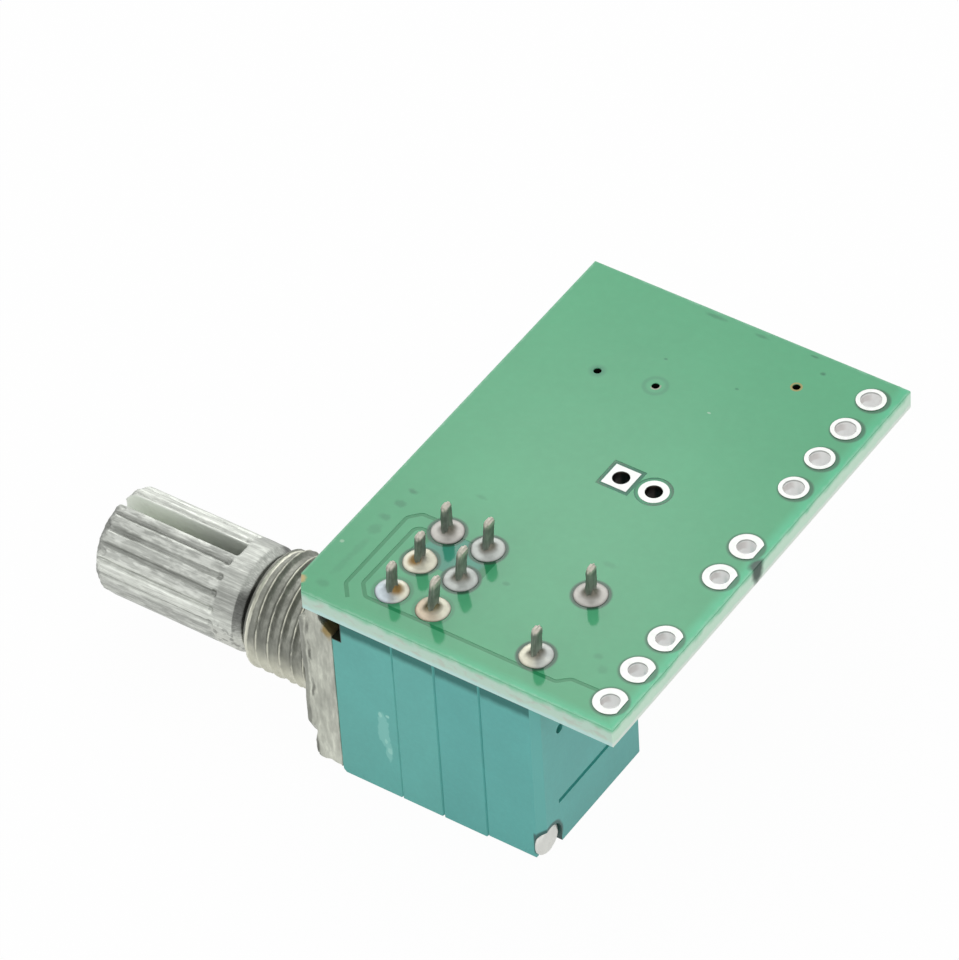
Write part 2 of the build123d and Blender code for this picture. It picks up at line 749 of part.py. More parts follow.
# Switch cam: a disc on the shaft's flats, and a hub with the lobe that
# lifts the contact spring in the off position
cam_start = switch_spigot_x + web_thickness + 0.25
cam_disc_radius = 3.25
cam_disc_length = 1.1
cam_hub_radius = 2.6
cam_end = body_end - cover_wall - 0.25
lobe_angle = 24.0
with BuildPart() as switch_cam:
    with BuildSketch(Plane.YZ.offset(cam_start)):
        Circle(cam_disc_radius)
    extrude(amount=cam_disc_length)
    with BuildSketch(Plane.YZ.offset(cam_start)):
        Circle(cam_hub_radius)
    extrude(amount=cam_end - cam_start)
    with BuildSketch(Plane.YZ.offset(cam_end - leaf_width - 0.2)):
        with BuildLine():
            lobe_start = 90 - lobe_angle / 2
            inner = CenterArc((0, 0), cam_hub_radius - 0.3, lobe_start, lobe_angle)
            outer = CenterArc((0, 0), cam_lobe_radius, lobe_start, lobe_angle)
            Line(inner @ 0, outer @ 0)
            Line(inner @ 1, outer @ 1)
        make_face()
    extrude(amount=leaf_width + 0.2)
    with BuildSketch(Plane.YZ.offset(cam_start)):
        add(drive_hole())
    extrude(amount=drive_end + 0.1 - cam_start, mode=Mode.SUBTRACT)
finish(switch_cam.part, "switch_cam")

# Switch spring: the near terminal carries a leaf over the cam. The far
# terminal carries the fixed contact below the leaf's end.
switch_pin_top = top_z + switch_pin_rise
leaf_end = switch_pins[1] - switch_pin_width / 2 - 0.1
with BuildPart() as switch_spring:
    with BuildSketch(Plane.YZ.offset(switch_row_x - switch_pin_thickness / 2)):
        with Locations((switch_pins[0], leaf_z)):
            Rectangle(switch_pin_width, switch_pin_top - leaf_z, align=(Align.CENTER, Align.MIN))
    extrude(amount=switch_pin_thickness)
    chamfer(switch_spring.faces().sort_by(Axis.Z)[-1].edges().filter_by(Axis.X), length=0.15)
    with BuildSketch(Plane.XY.offset(leaf_z)):
        with Locations((switch_row_x, switch_pins[0] - switch_pin_width / 2)):
            Rectangle(
                leaf_width,
                leaf_end - switch_pins[0] + switch_pin_width / 2,
                align=(Align.CENTER, Align.MIN),
            )
    extrude(amount=leaf_thickness)
finish(switch_spring.part, "switch_spring")

foot_z = 2.4
foot_start = 1.4
foot_thickness = 0.2
with BuildPart() as switch_contact:
    with BuildSketch(Plane.YZ.offset(switch_row_x - switch_pin_thickness / 2)):
        with Locations((switch_pins[1], foot_z)):
            Rectangle(switch_pin_width, switch_pin_top - foot_z, align=(Align.CENTER, Align.MIN))
    extrude(amount=switch_pin_thickness)
    chamfer(switch_contact.faces().sort_by(Axis.Z)[-1].edges().filter_by(Axis.X), length=0.15)
    with BuildSketch(Plane.XY.offset(foot_z)):
        with Locations((switch_row_x, switch_pins[1] + switch_pin_width / 2)):
            Rectangle(
                leaf_width,
                switch_pins[1] + switch_pin_width / 2 - foot_start,
                align=(Align.CENTER, Align.MAX),
            )
    extrude(amount=foot_thickness)
finish(switch_contact.part, "switch_contact")


def solder_joints(places, width, thickness):
    # Tin that fills each hole and climbs the pin in a hollow cone
    fill_radius = pin_hole_radius - 0.005
    with BuildPart() as joints:
        for x, y in places:
            with BuildSketch(Plane.XZ.offset(-y)):
                with BuildLine():
                    Polyline(
                        (x + joint_radius, top_z),
                        (x + fill_radius, top_z),
                        (x + fill_radius, under_z - 0.05),
                        (x, under_z - 0.05),
                        (x, top_z + joint_height),
                        (x + 0.3, top_z + joint_height),
                        (x + 0.46, top_z + 0.2),
                        close=True,
                    )
                make_face()
            revolve(axis=Axis((x, y, 0), (0, 0, 1)))
        with BuildSketch(Plane.XY.offset(under_z - 0.05)):
            with Locations(*places):
                Rectangle(thickness, width)
        extrude(amount=board_thickness + joint_height + 0.1, mode=Mode.SUBTRACT)
    return joints


gang_places = joint_places[:2 * len(gang_pins)]
switch_places = joint_places[2 * len(gang_pins):]
gang_solder = solder_joints(gang_places, pin_width, pin_thickness)
finish(gang_solder.part, "gang_solder")
switch_solder = solder_joints(switch_places, switch_pin_width, switch_pin_thickness)
finish(switch_solder.part, "switch_solder")

# Tinned pads under the surface-mounted parts
lead_places = [(n - (leads_per_side - 1) / 2) * lead_pitch for n in range(leads_per_side)]
foot_length = 0.6
lead_pad_length = 1.3
pad_face_z = under_z - pad_thickness


def passive_ends(place):
    x, y, turn = place
    reach = (passive_length - passive_end) / 2
    return [(x + s * reach * cos(radians(turn)), y + s * reach * sin(radians(turn))) for s in (-1, 1)]


with BuildPart() as underside_pads:
    with BuildSketch(Plane.XY.offset(pad_face_z)):
        for side in (-1, 1):
            pad_x = chip_x + side * (lead_span - foot_length) / 2
            with Locations(*[(pad_x, chip_y + y) for y in lead_places]):
                Rectangle(lead_pad_length, lead_width + 0.16)
        for place in capacitor_chips + resistor_chips:
            with Locations(*passive_ends(place)):
                Rectangle(0.75, passive_width + 0.1, rotation=place[2])
    extrude(amount=pad_thickness)
finish(underside_pads.part, "underside_pads")

# Amplifier chip, moulded with drafted sides, hanging under the board
chip_top_z = pad_face_z - chip_lift
with BuildPart() as amplifier_chip:
    for way in (1, -1):
        with BuildSketch(Plane.XY.offset(chip_top_z - chip_height / 2)):
            with Locations((chip_x, chip_y)):
                Rectangle(chip_width, chip_length)
        extrude(amount=way * chip_height / 2, taper=7)
    with BuildSketch(Plane.XY.offset(chip_top_z - chip_height)):
        with Locations((chip_x - chip_width / 2 + mark_inset, chip_y - chip_length / 2 + mark_inset)):
            Circle(0.35)
    extrude(amount=0.08, mode=Mode.SUBTRACT)
finish(amplifier_chip.part, "amplifier_chip")

# Its sixteen gull-wing leads
with BuildPart() as chip_leads:
    lead_z = chip_top_z - chip_height / 2
    foot_mid_z = pad_face_z - lead_thickness / 2
    for y in lead_places:
        for side in (-1, 1):
            with BuildSketch(Plane.XZ.offset(-(chip_y + y - lead_width / 2))):
                with BuildLine():
                    Polyline(
                        (chip_x + side * chip_width / 2, lead_z),
                        (chip_x + side * (chip_width / 2 + 0.28), lead_z),
                        (chip_x + side * (lead_span / 2 - foot_length), foot_mid_z),
                        (chip_x + side * lead_span / 2, foot_mid_z),
                    )
                trace(line_width=lead_thickness)
            extrude(amount=-lead_width)
finish(chip_leads.part, "chip_leads")


def chip_blocks(places, height, length):
    # Plain middle blocks of the chip capacitors or resistors
    with BuildPart() as blocks:
        with BuildSketch(Plane.XY.offset(pad_face_z)):
            for x, y, turn in places:
                with Locations((x, y)):
                    Rectangle(length, passive_width, rotation=turn)
        extrude(amount=-height)
    return blocks


def chip_ends(places, height):
    # Tinned end caps, a little thicker than the block between them
    with BuildPart() as ends:
        with BuildSketch(Plane.XY.offset(pad_face_z)):
            for place in places:
                with Locations(*passive_ends(place)):
                    Rectangle(passive_end, passive_width + 0.04, rotation=place[2])
        extrude(amount=-height - 0.03)
    return ends


block_length = passive_length - 2 * passive_end
capacitor_bodies = chip_blocks(capacitor_chips, capacitor_height, block_length)
finish(capacitor_bodies.part, "capacitor_bodies")
capacitor_ends = chip_ends(capacitor_chips, capacitor_height)
finish(capacitor_ends.part, "capacitor_ends")
resistor_bodies = chip_blocks(resistor_chips, resistor_height, block_length)
finish(resistor_bodies.part, "resistor_bodies")
resistor_ends = chip_ends(resistor_chips, resistor_height)
finish(resistor_ends.part, "resistor_ends")
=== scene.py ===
import math
import bmesh
import bpy
import numpy as np
from mathutils import Matrix, Vector, noise


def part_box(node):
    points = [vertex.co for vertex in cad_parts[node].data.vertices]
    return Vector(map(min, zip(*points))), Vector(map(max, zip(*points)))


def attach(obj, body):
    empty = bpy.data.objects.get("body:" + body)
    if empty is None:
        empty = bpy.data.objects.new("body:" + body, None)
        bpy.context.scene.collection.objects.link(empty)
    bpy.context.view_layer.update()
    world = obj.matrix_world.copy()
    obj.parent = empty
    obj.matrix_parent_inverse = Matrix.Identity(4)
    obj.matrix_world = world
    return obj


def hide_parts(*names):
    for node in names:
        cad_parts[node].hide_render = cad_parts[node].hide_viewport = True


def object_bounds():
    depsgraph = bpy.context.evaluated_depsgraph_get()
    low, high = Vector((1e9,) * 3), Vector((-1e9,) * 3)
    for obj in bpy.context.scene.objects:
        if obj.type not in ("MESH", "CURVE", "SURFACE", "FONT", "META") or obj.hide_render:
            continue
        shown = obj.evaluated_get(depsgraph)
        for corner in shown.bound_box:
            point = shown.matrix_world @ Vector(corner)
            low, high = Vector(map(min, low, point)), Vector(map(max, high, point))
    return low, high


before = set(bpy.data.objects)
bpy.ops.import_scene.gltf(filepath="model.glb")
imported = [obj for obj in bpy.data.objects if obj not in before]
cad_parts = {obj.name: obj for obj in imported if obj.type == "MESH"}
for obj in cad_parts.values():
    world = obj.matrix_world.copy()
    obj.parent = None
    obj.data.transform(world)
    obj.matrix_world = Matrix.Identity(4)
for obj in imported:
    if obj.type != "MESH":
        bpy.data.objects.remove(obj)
cad_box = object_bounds()

MM = 0.001
scene = bpy.context.scene


# Camera, placed as the photograph was taken
PHOTO_WIDTH = 959
CAMERA_PLACE = (0.14767235, -0.18785730, 0.24319482)
CAMERA_RIGHT = (0.8298065722, 0.5559892428, -0.0479271797)
CAMERA_DOWN = (0.3598925909, -0.5988099977, -0.7154746045)
CAMERA_FORWARD = (-0.4264954579, 0.5764568922, -0.6969928807)
FOCAL_PIXELS = 6542.856
CLIP_START = 0.01

camera_data = bpy.data.cameras.new("camera")
camera_data.sensor_fit = "HORIZONTAL"
camera_data.lens = FOCAL_PIXELS * camera_data.sensor_width / PHOTO_WIDTH
camera_data.clip_start = CLIP_START
camera = bpy.data.objects.new("camera", camera_data)
scene.collection.objects.link(camera)
camera_up = [-v for v in CAMERA_DOWN]
camera_back = [-v for v in CAMERA_FORWARD]
turn = Matrix((CAMERA_RIGHT, camera_up, camera_back)).transposed()
camera.matrix_world = Matrix.Translation(CAMERA_PLACE) @ turn.to_4x4()
scene.camera = camera
scene.view_settings.view_transform = "Standard"


# How much the noise's place moves along x, y and z for each unit of shift
SHIFT_RATIOS = (1.0, 1.7, 2.3)
# Noise values between which the dark and the light patches of a mottle fade in
DARK_PATCHES = (0.62, 0.28)
LIGHT_PATCHES = (0.5, 0.75)
# A Mix node has its own sockets for each type of data: factor, A, B and result
MIX_SOCKETS = {"FLOAT": (0, 2, 3, 0), "RGBA": (0, 6, 7, 2)}


def clamp(value):
    return min(max(value, 0.0), 1.0)


def put(tree, socket, value):
    """Link the socket to a value that is a socket too, or else set it."""
    if isinstance(value, bpy.types.NodeSocket):
        tree.links.new(value, socket)
    elif isinstance(value, tuple) and socket.type == "RGBA":
        socket.default_value = (*value, 1.0)
    else:
        socket.default_value = value


def add_node(tree, kind, inputs, **settings):
    """A node whose inputs, by name or number, are linked or set."""
    made = tree.nodes.new(kind)
    for key, value in settings.items():
        setattr(made, key, value)
    for key, value in inputs.items():
        put(tree, made.inputs[key], value)
    return made


class Surface:
    """A material whose nodes work in millimetres of the object's own frame."""

    def __init__(self, name, colour, roughness=0.5, metallic=0.0, specular=0.5):
        self.material = bpy.data.materials.new(name)
        self.material.use_nodes = True
        self.tree = self.material.node_tree
        self.shader = self.tree.nodes["Principled BSDF"]
        self.shader.inputs["Specular IOR Level"].default_value = specular
        coordinates = self.node("ShaderNodeTexCoord", {}).outputs
        inputs = {0: coordinates["Object"], "Scale": 1 / MM}
        self.place = self.node("ShaderNodeVectorMath", inputs, operation="SCALE").outputs[0]
        self.x, self.y, self.z = self.split(self.place)
        self.facing = self.split(coordinates["Normal"])
        self.colour = colour
        self.roughness = roughness
        self.metallic = metallic
        self.normal = None

    def node(self, kind, inputs, **settings):
        return add_node(self.tree, kind, inputs, **settings)

    def split(self, vector):
        return self.node("ShaderNodeSeparateXYZ", {0: vector}).outputs

    def math(self, operation, *values):
        inputs = dict(enumerate(values))
        return self.node("ShaderNodeMath", inputs, operation=operation).outputs[0]

    def product(self, *values):
        total = values[0]
        for value in values[1:]:
            total = self.math("MULTIPLY", total, value)
        return total

    def fade(self, value, zero_at, one_at):
        """0 before zero_at, 1 after one_at, and smooth between; either may be the larger."""
        rising = one_at > zero_at
        ends = (zero_at, one_at, 0.0, 1.0) if rising else (one_at, zero_at, 1.0, 0.0)
        inputs = dict(enumerate((value, *ends)))
        return self.node("ShaderNodeMapRange", inputs, interpolation_type="SMOOTHSTEP").outputs[0]

    def noise(self, size, detail=3.0, stretch=(1, 1, 1), shift=0.0, roughness=0.5):
        """Noise whose features are about size millimetres, longer along stretched axes."""
        moved = self.node("ShaderNodeMapping", {
            0: self.place,
            "Location": [shift * ratio for ratio in SHIFT_RATIOS],
            "Scale": [1 / (size * s) for s in stretch],
        })
        inputs = {"Vector": moved.outputs[0], "Scale": 1.0, "Detail": detail}
        return self.node("ShaderNodeTexNoise", {**inputs, "Roughness": roughness}).outputs[0]

    def distance(self, *terms):
        """Distance from terms of (socket, centre, half size), so 1 is the edge of an ellipse."""
        total = 0.0
        for socket, centre, half in terms:
            part = self.math("DIVIDE", self.math("SUBTRACT", socket, centre), half)
            total = self.math("ADD", total, self.math("POWER", self.absolute(part), 2.0))
        return self.math("SQRT", total)

    def radius(self):
        """Distance from the shaft's axis."""
        return self.distance((self.y, 0.0, 1.0), (self.z, 0.0, 1.0))

    def away(self, x, y):
        """Distance from an upright line through (x, y)."""
        return self.distance((self.x, x, 1.0), (self.y, y, 1.0))

    def inverse(self, mask):
        return self.math("SUBTRACT", 1.0, mask)

    def absolute(self, value):
        return self.math("ABSOLUTE", value)

    def wavy(self, value, size, amount, **settings):
        """The value plus noise, so that a mask's edge made from it wanders."""
        return self.math("ADD", value, self.product(self.noise(size, **settings), amount))

    def blot(self, *terms, wobble=0.5, size=0.3, soft=0.25, shift=0.0):
        """An uneven spot: 1 inside the ellipse and 0 outside."""
        uneven = self.math("SUBTRACT", self.noise(size, 3.0, shift=shift), 0.5)
        edge = self.math("ADD", self.distance(*terms), self.product(uneven, wobble))
        return self.fade(edge, 1 + soft, 1 - soft)

    def mix(self, kind, mask, before, after, **settings):
        *places, output = MIX_SOCKETS[kind]
        inputs = dict(zip(places, (mask, before, after)))
        return self.node("ShaderNodeMix", inputs, data_type=kind, **settings).outputs[output]

    def paint(self, mask, colour, blend="MIX"):
        self.colour = self.mix("RGBA", mask, self.colour, colour, blend_type=blend)

    def shade(self, mask, factor):
        """Multiply the colour: darker below 1 and lighter above it."""
        self.paint(mask, (factor, factor, factor), "MULTIPLY")

    def mottle(self, size, strength, **settings):
        """Lighter and darker patches of the colour, by about strength each way."""
        value = self.noise(size, **settings)
        self.shade(self.fade(value, *DARK_PATCHES), 1 - strength)
        self.shade(self.fade(value, *LIGHT_PATCHES), 1 + strength)

    def gloss(self, mask, roughness):
        self.roughness = self.mix("FLOAT", mask, self.roughness, roughness)

    def metal(self, mask, metallic):
        self.metallic = self.mix("FLOAT", mask, self.metallic, metallic)

    def bump(self, height, depth):
        """Relief of depth millimetres for a height from 0 to 1."""
        inputs = {"Distance": depth * MM, "Height": height}
        if self.normal:
            inputs["Normal"] = self.normal
        self.normal = self.node("ShaderNodeBump", inputs).outputs[0]

    def done(self):
        ends = {"Base Color": self.colour, "Roughness": self.roughness, "Metallic": self.metallic}
        if self.normal:
            ends["Normal"] = self.normal
        for name, value in ends.items():
            put(self.tree, self.shader.inputs[name], value)
        return self.material


def corners(node):
    low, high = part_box(node)
    return low / MM, high / MM


def middle(node, axis):
    low, high = corners(node)
    return (low[axis] + high[axis]) / 2


board_low, board_high = corners("circuit_board")
BOARD_TOP = board_high.z
BOARD_UNDER = board_low.z
# Recesses where no copper lies under the mask: depth in the solids, and as shown
GAP_DEPTH = 0.04
SHOWN_GAP = 0.015
BORDER_GAP = 0.002
BORDER_RIGHT = 0.75
BORDER_NEAR = 0.45
RIGHT_BORDER_X = board_high.x - BORDER_RIGHT
NEAR_BORDER_Y = board_low.y + BORDER_NEAR
# Terminals
PIN_HALF_WIDTH = 0.35
PIN_PITCH = corners("front_terminals")[1].y - PIN_HALF_WIDTH
FRONT_ROW_X = middle("front_terminals", 0)
REAR_ROW_X = middle("rear_terminals", 0)
SWITCH_ROW_X = middle("switch_contact", 0)
SWITCH_PIN_Y = 2.5
# Volume control: its body, the two rivet posts, the bushing's thread and the shaft's slot
BODY_HALF = corners("rear_gang_housing")[1].y
BODY_END = corners("rear_cover")[1].x
POST_INSET = 0.75
POST_Y = BODY_HALF - POST_INSET
POST_Z = -3.4
POST_FAR_Z = 5.7
CREST_RADIUS = 3.4
SLOT_TILT = math.radians(2)
SLOT_WIDTH = 0.95

# Wire pads: three rows along the right edge, the first with round pads
WIRE_PITCH = 2.54
ROUND_PAD_RADIUS = 0.81
MIDDLE_ROW_END = 9.45
NEAR_ROW_END = 1.81
FLAT_PAD_INSET = 1.19
FLAT_PAD_X = board_high.x - FLAT_PAD_INSET
pads_high = corners("wire_pads")[1]


def pad_row(x, end, count):
    return [(x, end - n * WIRE_PITCH) for n in range(count)]


ROUND_PADS = pad_row(pads_high.x - ROUND_PAD_RADIUS, pads_high.y - ROUND_PAD_RADIUS, 4)
FLAT_PADS = pad_row(FLAT_PAD_X, MIDDLE_ROW_END, 2) + pad_row(FLAT_PAD_X, NEAR_ROW_END, 3)

# Pads of the capacitor that isn't fitted, one square and one round
SQUARE_PAD_HALF = 0.76
ROUND_CAPACITOR_RADIUS = 0.82
SQUARE_PAD_X = corners("capacitor_pads")[0].x + SQUARE_PAD_HALF
ROUND_CAPACITOR_X = corners("capacitor_pads")[1].x - ROUND_CAPACITOR_RADIUS
CAPACITOR_Y = middle("capacitor_pads", 1)


# Studio: white surroundings, one large soft light behind and a fill at each side
WORLD_LIGHT = 0.62
FLOOR_GLOW = 0.97
FLOOR_COLOUR = (0.86, 0.86, 0.86)
FLOOR_HALF = 1.5
# Name, place and width in metres, and radiance
LIGHTS = [
    ("back_softbox", (-0.27, 0.36, 0.44), 0.55, 1.4),
    ("right_softbox", (0.55, -0.10, 0.30), 0.40, 0.9),
    ("front_softbox", (-0.25, -0.55, 0.30), 0.45, 0.95),
]
# A small soft glow that the glossy board mirrors round the pins
GLOW_PLACE = (-0.190, 0.285, 0.354)
GLOW_RADIUS = 0.045
GLOW_RADIANCE = 2.8


def seen_directly(tree):
    """1 for rays that show the surroundings themselves: camera, glossy and transmission rays."""
    rays = add_node(tree, "ShaderNodeLightPath", {}).outputs
    total = rays["Is Camera Ray"]
    for name in ("Is Glossy Ray", "Is Transmission Ray"):
        inputs = {0: total, 1: rays[name]}
        total = add_node(tree, "ShaderNodeMath", inputs, operation="MAXIMUM").outputs[0]
    return total


def scaled_flag(tree, flag, low, high):
    """low where the flag is 0 and high where it is 1."""
    inputs = {"Value": flag, "To Min": low, "To Max": high}
    return add_node(tree, "ShaderNodeMapRange", inputs).outputs[0]


def hang(name, lamp, place):
    """Put the lamp at place, aimed at the object."""
    holder = bpy.data.objects.new(name, lamp)
    scene.collection.objects.link(holder)
    holder.location = place
    holder.rotation_euler = (-Vector(place)).to_track_quat("-Z", "Y").to_euler()


world = bpy.data.worlds.new("studio")
scene.world = world
world.use_nodes = True
tree = world.node_tree
background = tree.nodes["Background"]
put(tree, background.inputs["Color"], (1.0, 1.0, 1.0))
strength = scaled_flag(tree, seen_directly(tree), WORLD_LIGHT, 1.0)
put(tree, background.inputs["Strength"], strength)

for name, place, width, radiance in LIGHTS:
    lamp = bpy.data.lights.new(name, "AREA")
    lamp.shape = "SQUARE"
    lamp.size = width
    lamp.energy = radiance * math.pi * width * width
    hang(name, lamp, place)

glow_lamp = bpy.data.lights.new("glow", "AREA")
glow_lamp.shape = "DISK"
glow_lamp.size = 2 * GLOW_RADIUS
glow_lamp.energy = GLOW_RADIANCE * math.pi * math.pi * GLOW_RADIUS ** 2
glow_lamp.use_nodes = True
tree = glow_lamp.node_tree
lit_place = add_node(tree, "ShaderNodeNewGeometry", {}).outputs["Position"]
inputs = {0: lit_place, 1: GLOW_PLACE}
from_centre = add_node(tree, "ShaderNodeVectorMath", inputs, operation="DISTANCE")
inputs = {
    "Value": from_centre.outputs["Value"], "From Max": GLOW_RADIUS, "To Min": 1.0, "To Max": 0.0
}
fall = add_node(tree, "ShaderNodeMapRange", inputs, interpolation_type="SMOOTHSTEP")
put(tree, tree.nodes["Emission"].inputs["Strength"], fall.outputs[0])
hang("glow", glow_lamp, GLOW_PLACE)


def floor_material():
    material = bpy.data.materials.new("white_sweep")
    material.use_nodes = True
    tree = material.node_tree
    tree.nodes.clear()
    share = scaled_flag(tree, seen_directly(tree), 0.0, FLOOR_GLOW)
    paper = add_node(tree, "ShaderNodeBsdfDiffuse", {"Color": FLOOR_COLOUR})
    glow = add_node(tree, "ShaderNodeEmission", {})
    inputs = {0: share, 1: paper.outputs[0], 2: glow.outputs[0]}
    mixed = add_node(tree, "ShaderNodeMixShader", inputs)
    add_node(tree, "ShaderNodeOutputMaterial", {0: mixed.outputs[0]})
    return material


floor_mesh = bpy.data.meshes.new("floor")
floor_corners = [
    (x * FLOOR_HALF, y * FLOOR_HALF, cad_box[0].z) for x, y in ((-1, -1), (1, -1), (1, 1), (-1, 1))
]
floor_mesh.from_pydata(floor_corners, [], [(0, 1, 2, 3)])
floor_mesh.materials.append(floor_material())
floor = bpy.data.objects.new("floor", floor_mesh)
scene.collection.objects.link(floor)


# Board. Colours of the solder mask and of what lies on it; the tint of the recesses multiplies what
# is there, for bare laminate and for painted shade
MASK_GREEN = (0.075, 0.392, 0.187)
BARE_AND_SHADE_TINT = (0.28, 0.64, 0.52)
PIN_PATCH_GREEN = (0.045, 0.30, 0.20)
BORDER_GREEN = (0.085, 0.53, 0.28)
FLUX = (0.022, 0.052, 0.038)
RING_FLUX = (0.03, 0.095, 0.055)
FLUX_GLOSS = 0.85
SMUDGE = (0.03, 0.21, 0.10)
FLECK = (0.45, 0.62, 0.48)
WORN_MASK = (0.36, 0.64, 0.48)
CHIP_TAN = (0.60, 0.40, 0.16)
INK = (0.03, 0.055, 0.045)
# Colours of its cut edges; those of the right side are paler as painted light
LAMINATE = (0.56, 0.76, 0.64)
PINKISH = (0.56, 0.60, 0.52)
LOW_EDGE = (0.58, 0.83, 0.78)
RIGHT_LOW_EDGE_LIT = (0.80, 0.90, 0.80)
RIGHT_EDGE_LIT = (0.66, 0.90, 0.72)
SMEARED_MASK = (0.20, 0.62, 0.37)
VIA_SHADE = (0.012, 0.011, 0.008)
# Dark rings of flux outside the joints and pads: x, y, inner radius and strength
RING_WIDTH = 0.2
RING_SOFT = 0.04
RINGS = [
    (FRONT_ROW_X, PIN_PITCH, 0.96, 0.9), (FRONT_ROW_X, 0, 0.96, 0.8),
    (FRONT_ROW_X, -PIN_PITCH, 0.98, 0.35),
    (REAR_ROW_X, PIN_PITCH, 0.96, 0.95), (REAR_ROW_X, 0, 0.96, 0.95),
    (REAR_ROW_X, -PIN_PITCH, 0.98, 0.3),
    (SWITCH_ROW_X, SWITCH_PIN_Y, 0.96, 0.95), (SWITCH_ROW_X, -SWITCH_PIN_Y, 0.96, 0.95),
    (ROUND_CAPACITOR_X, CAPACITOR_Y, 0.84, 0.9),
]
RINGS += [(x, y, 0.83, 0.75) for x, y in ROUND_PADS] + [(x, y, 0.91, 0.7) for x, y in FLAT_PADS]
# Smudges along the left edge, marks by the far edge and specks: x, y, half sizes and strength
MARKS = [
    (1.42, 4.04, 0.24, 0.14, 0.75), (1.34, 2.96, 0.28, 0.2, 0.6), (1.2, 1.74, 0.3, 0.2, 0.5),
    (1.28, 0.75, 0.3, 0.35, 0.35), (1.33, -0.9, 0.2, 0.8, 0.25), (1.27, -2.3, 0.22, 0.7, 0.2),
    (1.2, -3.83, 0.3, 0.25, 0.35), (7.7, 23.2, 0.5, 0.12, 0.6), (10.6, 23.15, 0.35, 0.1, 0.6),
    (13.83, 23.24, 0.22, 0.07, 0.8), (14.9, 22.35, 0.15, 0.12, 1.0),
    (7.22, 19.1, 0.09, 0.07, 0.7), (11.63, 19.08, 0.09, 0.07, 0.7),
    (9.24, 0.95, 0.17, 0.14, 0.45), (4.68, 5.5, 0.3, 0.12, 0.3),
    (16.04, -0.95, 0.2, 0.2, 0.35), (16.74, -1.62, 0.26, 0.26, 0.3), (13.0, 4.8, 0.4, 0.15, 0.25),
]
FLECKS = [(0.33, -0.84, 0.11, 0.11), (11.34, 16.8, 0.1, 0.06)]
LEFT_VIA = (4.62, 16.5)
MIDDLE_VIA = (7.85, 17.1)
RIGHT_VIA = (14.2, 20.8)


def paint_recesses(mask, surface):
    """Lines and patches with no copper under the mask, apart from the borders, darkened partly as
    bare laminate and partly as painted shade of the recess.
    """
    sunk = mask.fade(mask.z, BOARD_TOP - 0.2 * SHOWN_GAP, BOARD_TOP - 0.8 * SHOWN_GAP)
    right = mask.fade(mask.x, RIGHT_BORDER_X - 0.1, RIGHT_BORDER_X - 0.05)
    near = mask.fade(mask.y, NEAR_BORDER_Y + 0.1, NEAR_BORDER_Y + 0.05)
    inner = mask.product(surface, sunk, mask.inverse(mask.math("MAXIMUM", right, near)))
    mask.paint(inner, BARE_AND_SHADE_TINT, "MULTIPLY")
    between_rows = (FRONT_ROW_X + REAR_ROW_X) / 2
    pin_patch = mask.blot(
        (mask.x, between_rows, 1.7), (mask.y, PIN_PITCH / 2, 1.3), wobble=0.1, soft=0.1
    )
    mask.paint(mask.product(inner, pin_patch), PIN_PATCH_GREEN)
    between_pads = (SQUARE_PAD_X + ROUND_CAPACITOR_X) / 2
    frame_patch = mask.blot((mask.x, between_pads, 2.2), (mask.y, CAPACITOR_Y, 1.3), wobble=0.0)
    framed = mask.product(inner, frame_patch, 0.95)
    mask.paint(framed, FLUX)
    mask.metal(mask.fade(framed, 0.6, 0.95), FLUX_GLOSS)


def paint_borders(mask, surface):
    """Bare laminate, which is brighter, under the mask along two edges."""
    right = mask.fade(mask.x, RIGHT_BORDER_X - 0.1, board_high.x - 0.15)
    near = mask.fade(mask.y, NEAR_BORDER_Y + 0.3, board_low.y + 0.05)
    near = mask.product(near, mask.fade(mask.x, -2.0, 16.0))
    uneven = mask.fade(mask.noise(1.2, 3.0, shift=5.0), 0.2, 0.7)
    amount = mask.math("ADD", 0.55, mask.product(uneven, 0.4))
    mask.paint(mask.product(mask.math("MAXIMUM", right, near), surface, amount), BORDER_GREEN)


def paint_flux(mask, surface):
    for x, y, radius, depth in RINGS:
        ring = mask.fade(mask.away(x, y), radius + RING_WIDTH, radius + RING_SOFT)
        mask.paint(mask.product(ring, surface, depth), RING_FLUX)
    square = mask.math(
        "MAXIMUM",
        mask.absolute(mask.math("SUBTRACT", mask.x, SQUARE_PAD_X)),
        mask.absolute(mask.math("SUBTRACT", mask.y, CAPACITOR_Y)),
    )
    square = mask.product(mask.fade(square, 0.95, 0.82), surface, 0.9)
    mask.paint(square, FLUX)
    mask.metal(mask.fade(square, 0.6, 0.9), FLUX_GLOSS)


def paint_marks(mask, surface):
    for order, (x, y, half_x, half_y, depth) in enumerate(MARKS):
        places = ((mask.x, x, half_x), (mask.y, y, half_y))
        spot = mask.blot(*places, wobble=1.4, soft=0.6, shift=order)
        mask.paint(mask.product(spot, depth, surface), SMUDGE)
    for x, y, half_x, half_y in FLECKS:
        fleck = mask.blot((mask.x, x, half_x), (mask.y, y, half_y), wobble=0.8, soft=0.4)
        mask.paint(mask.product(fleck, surface, 0.5), FLECK)


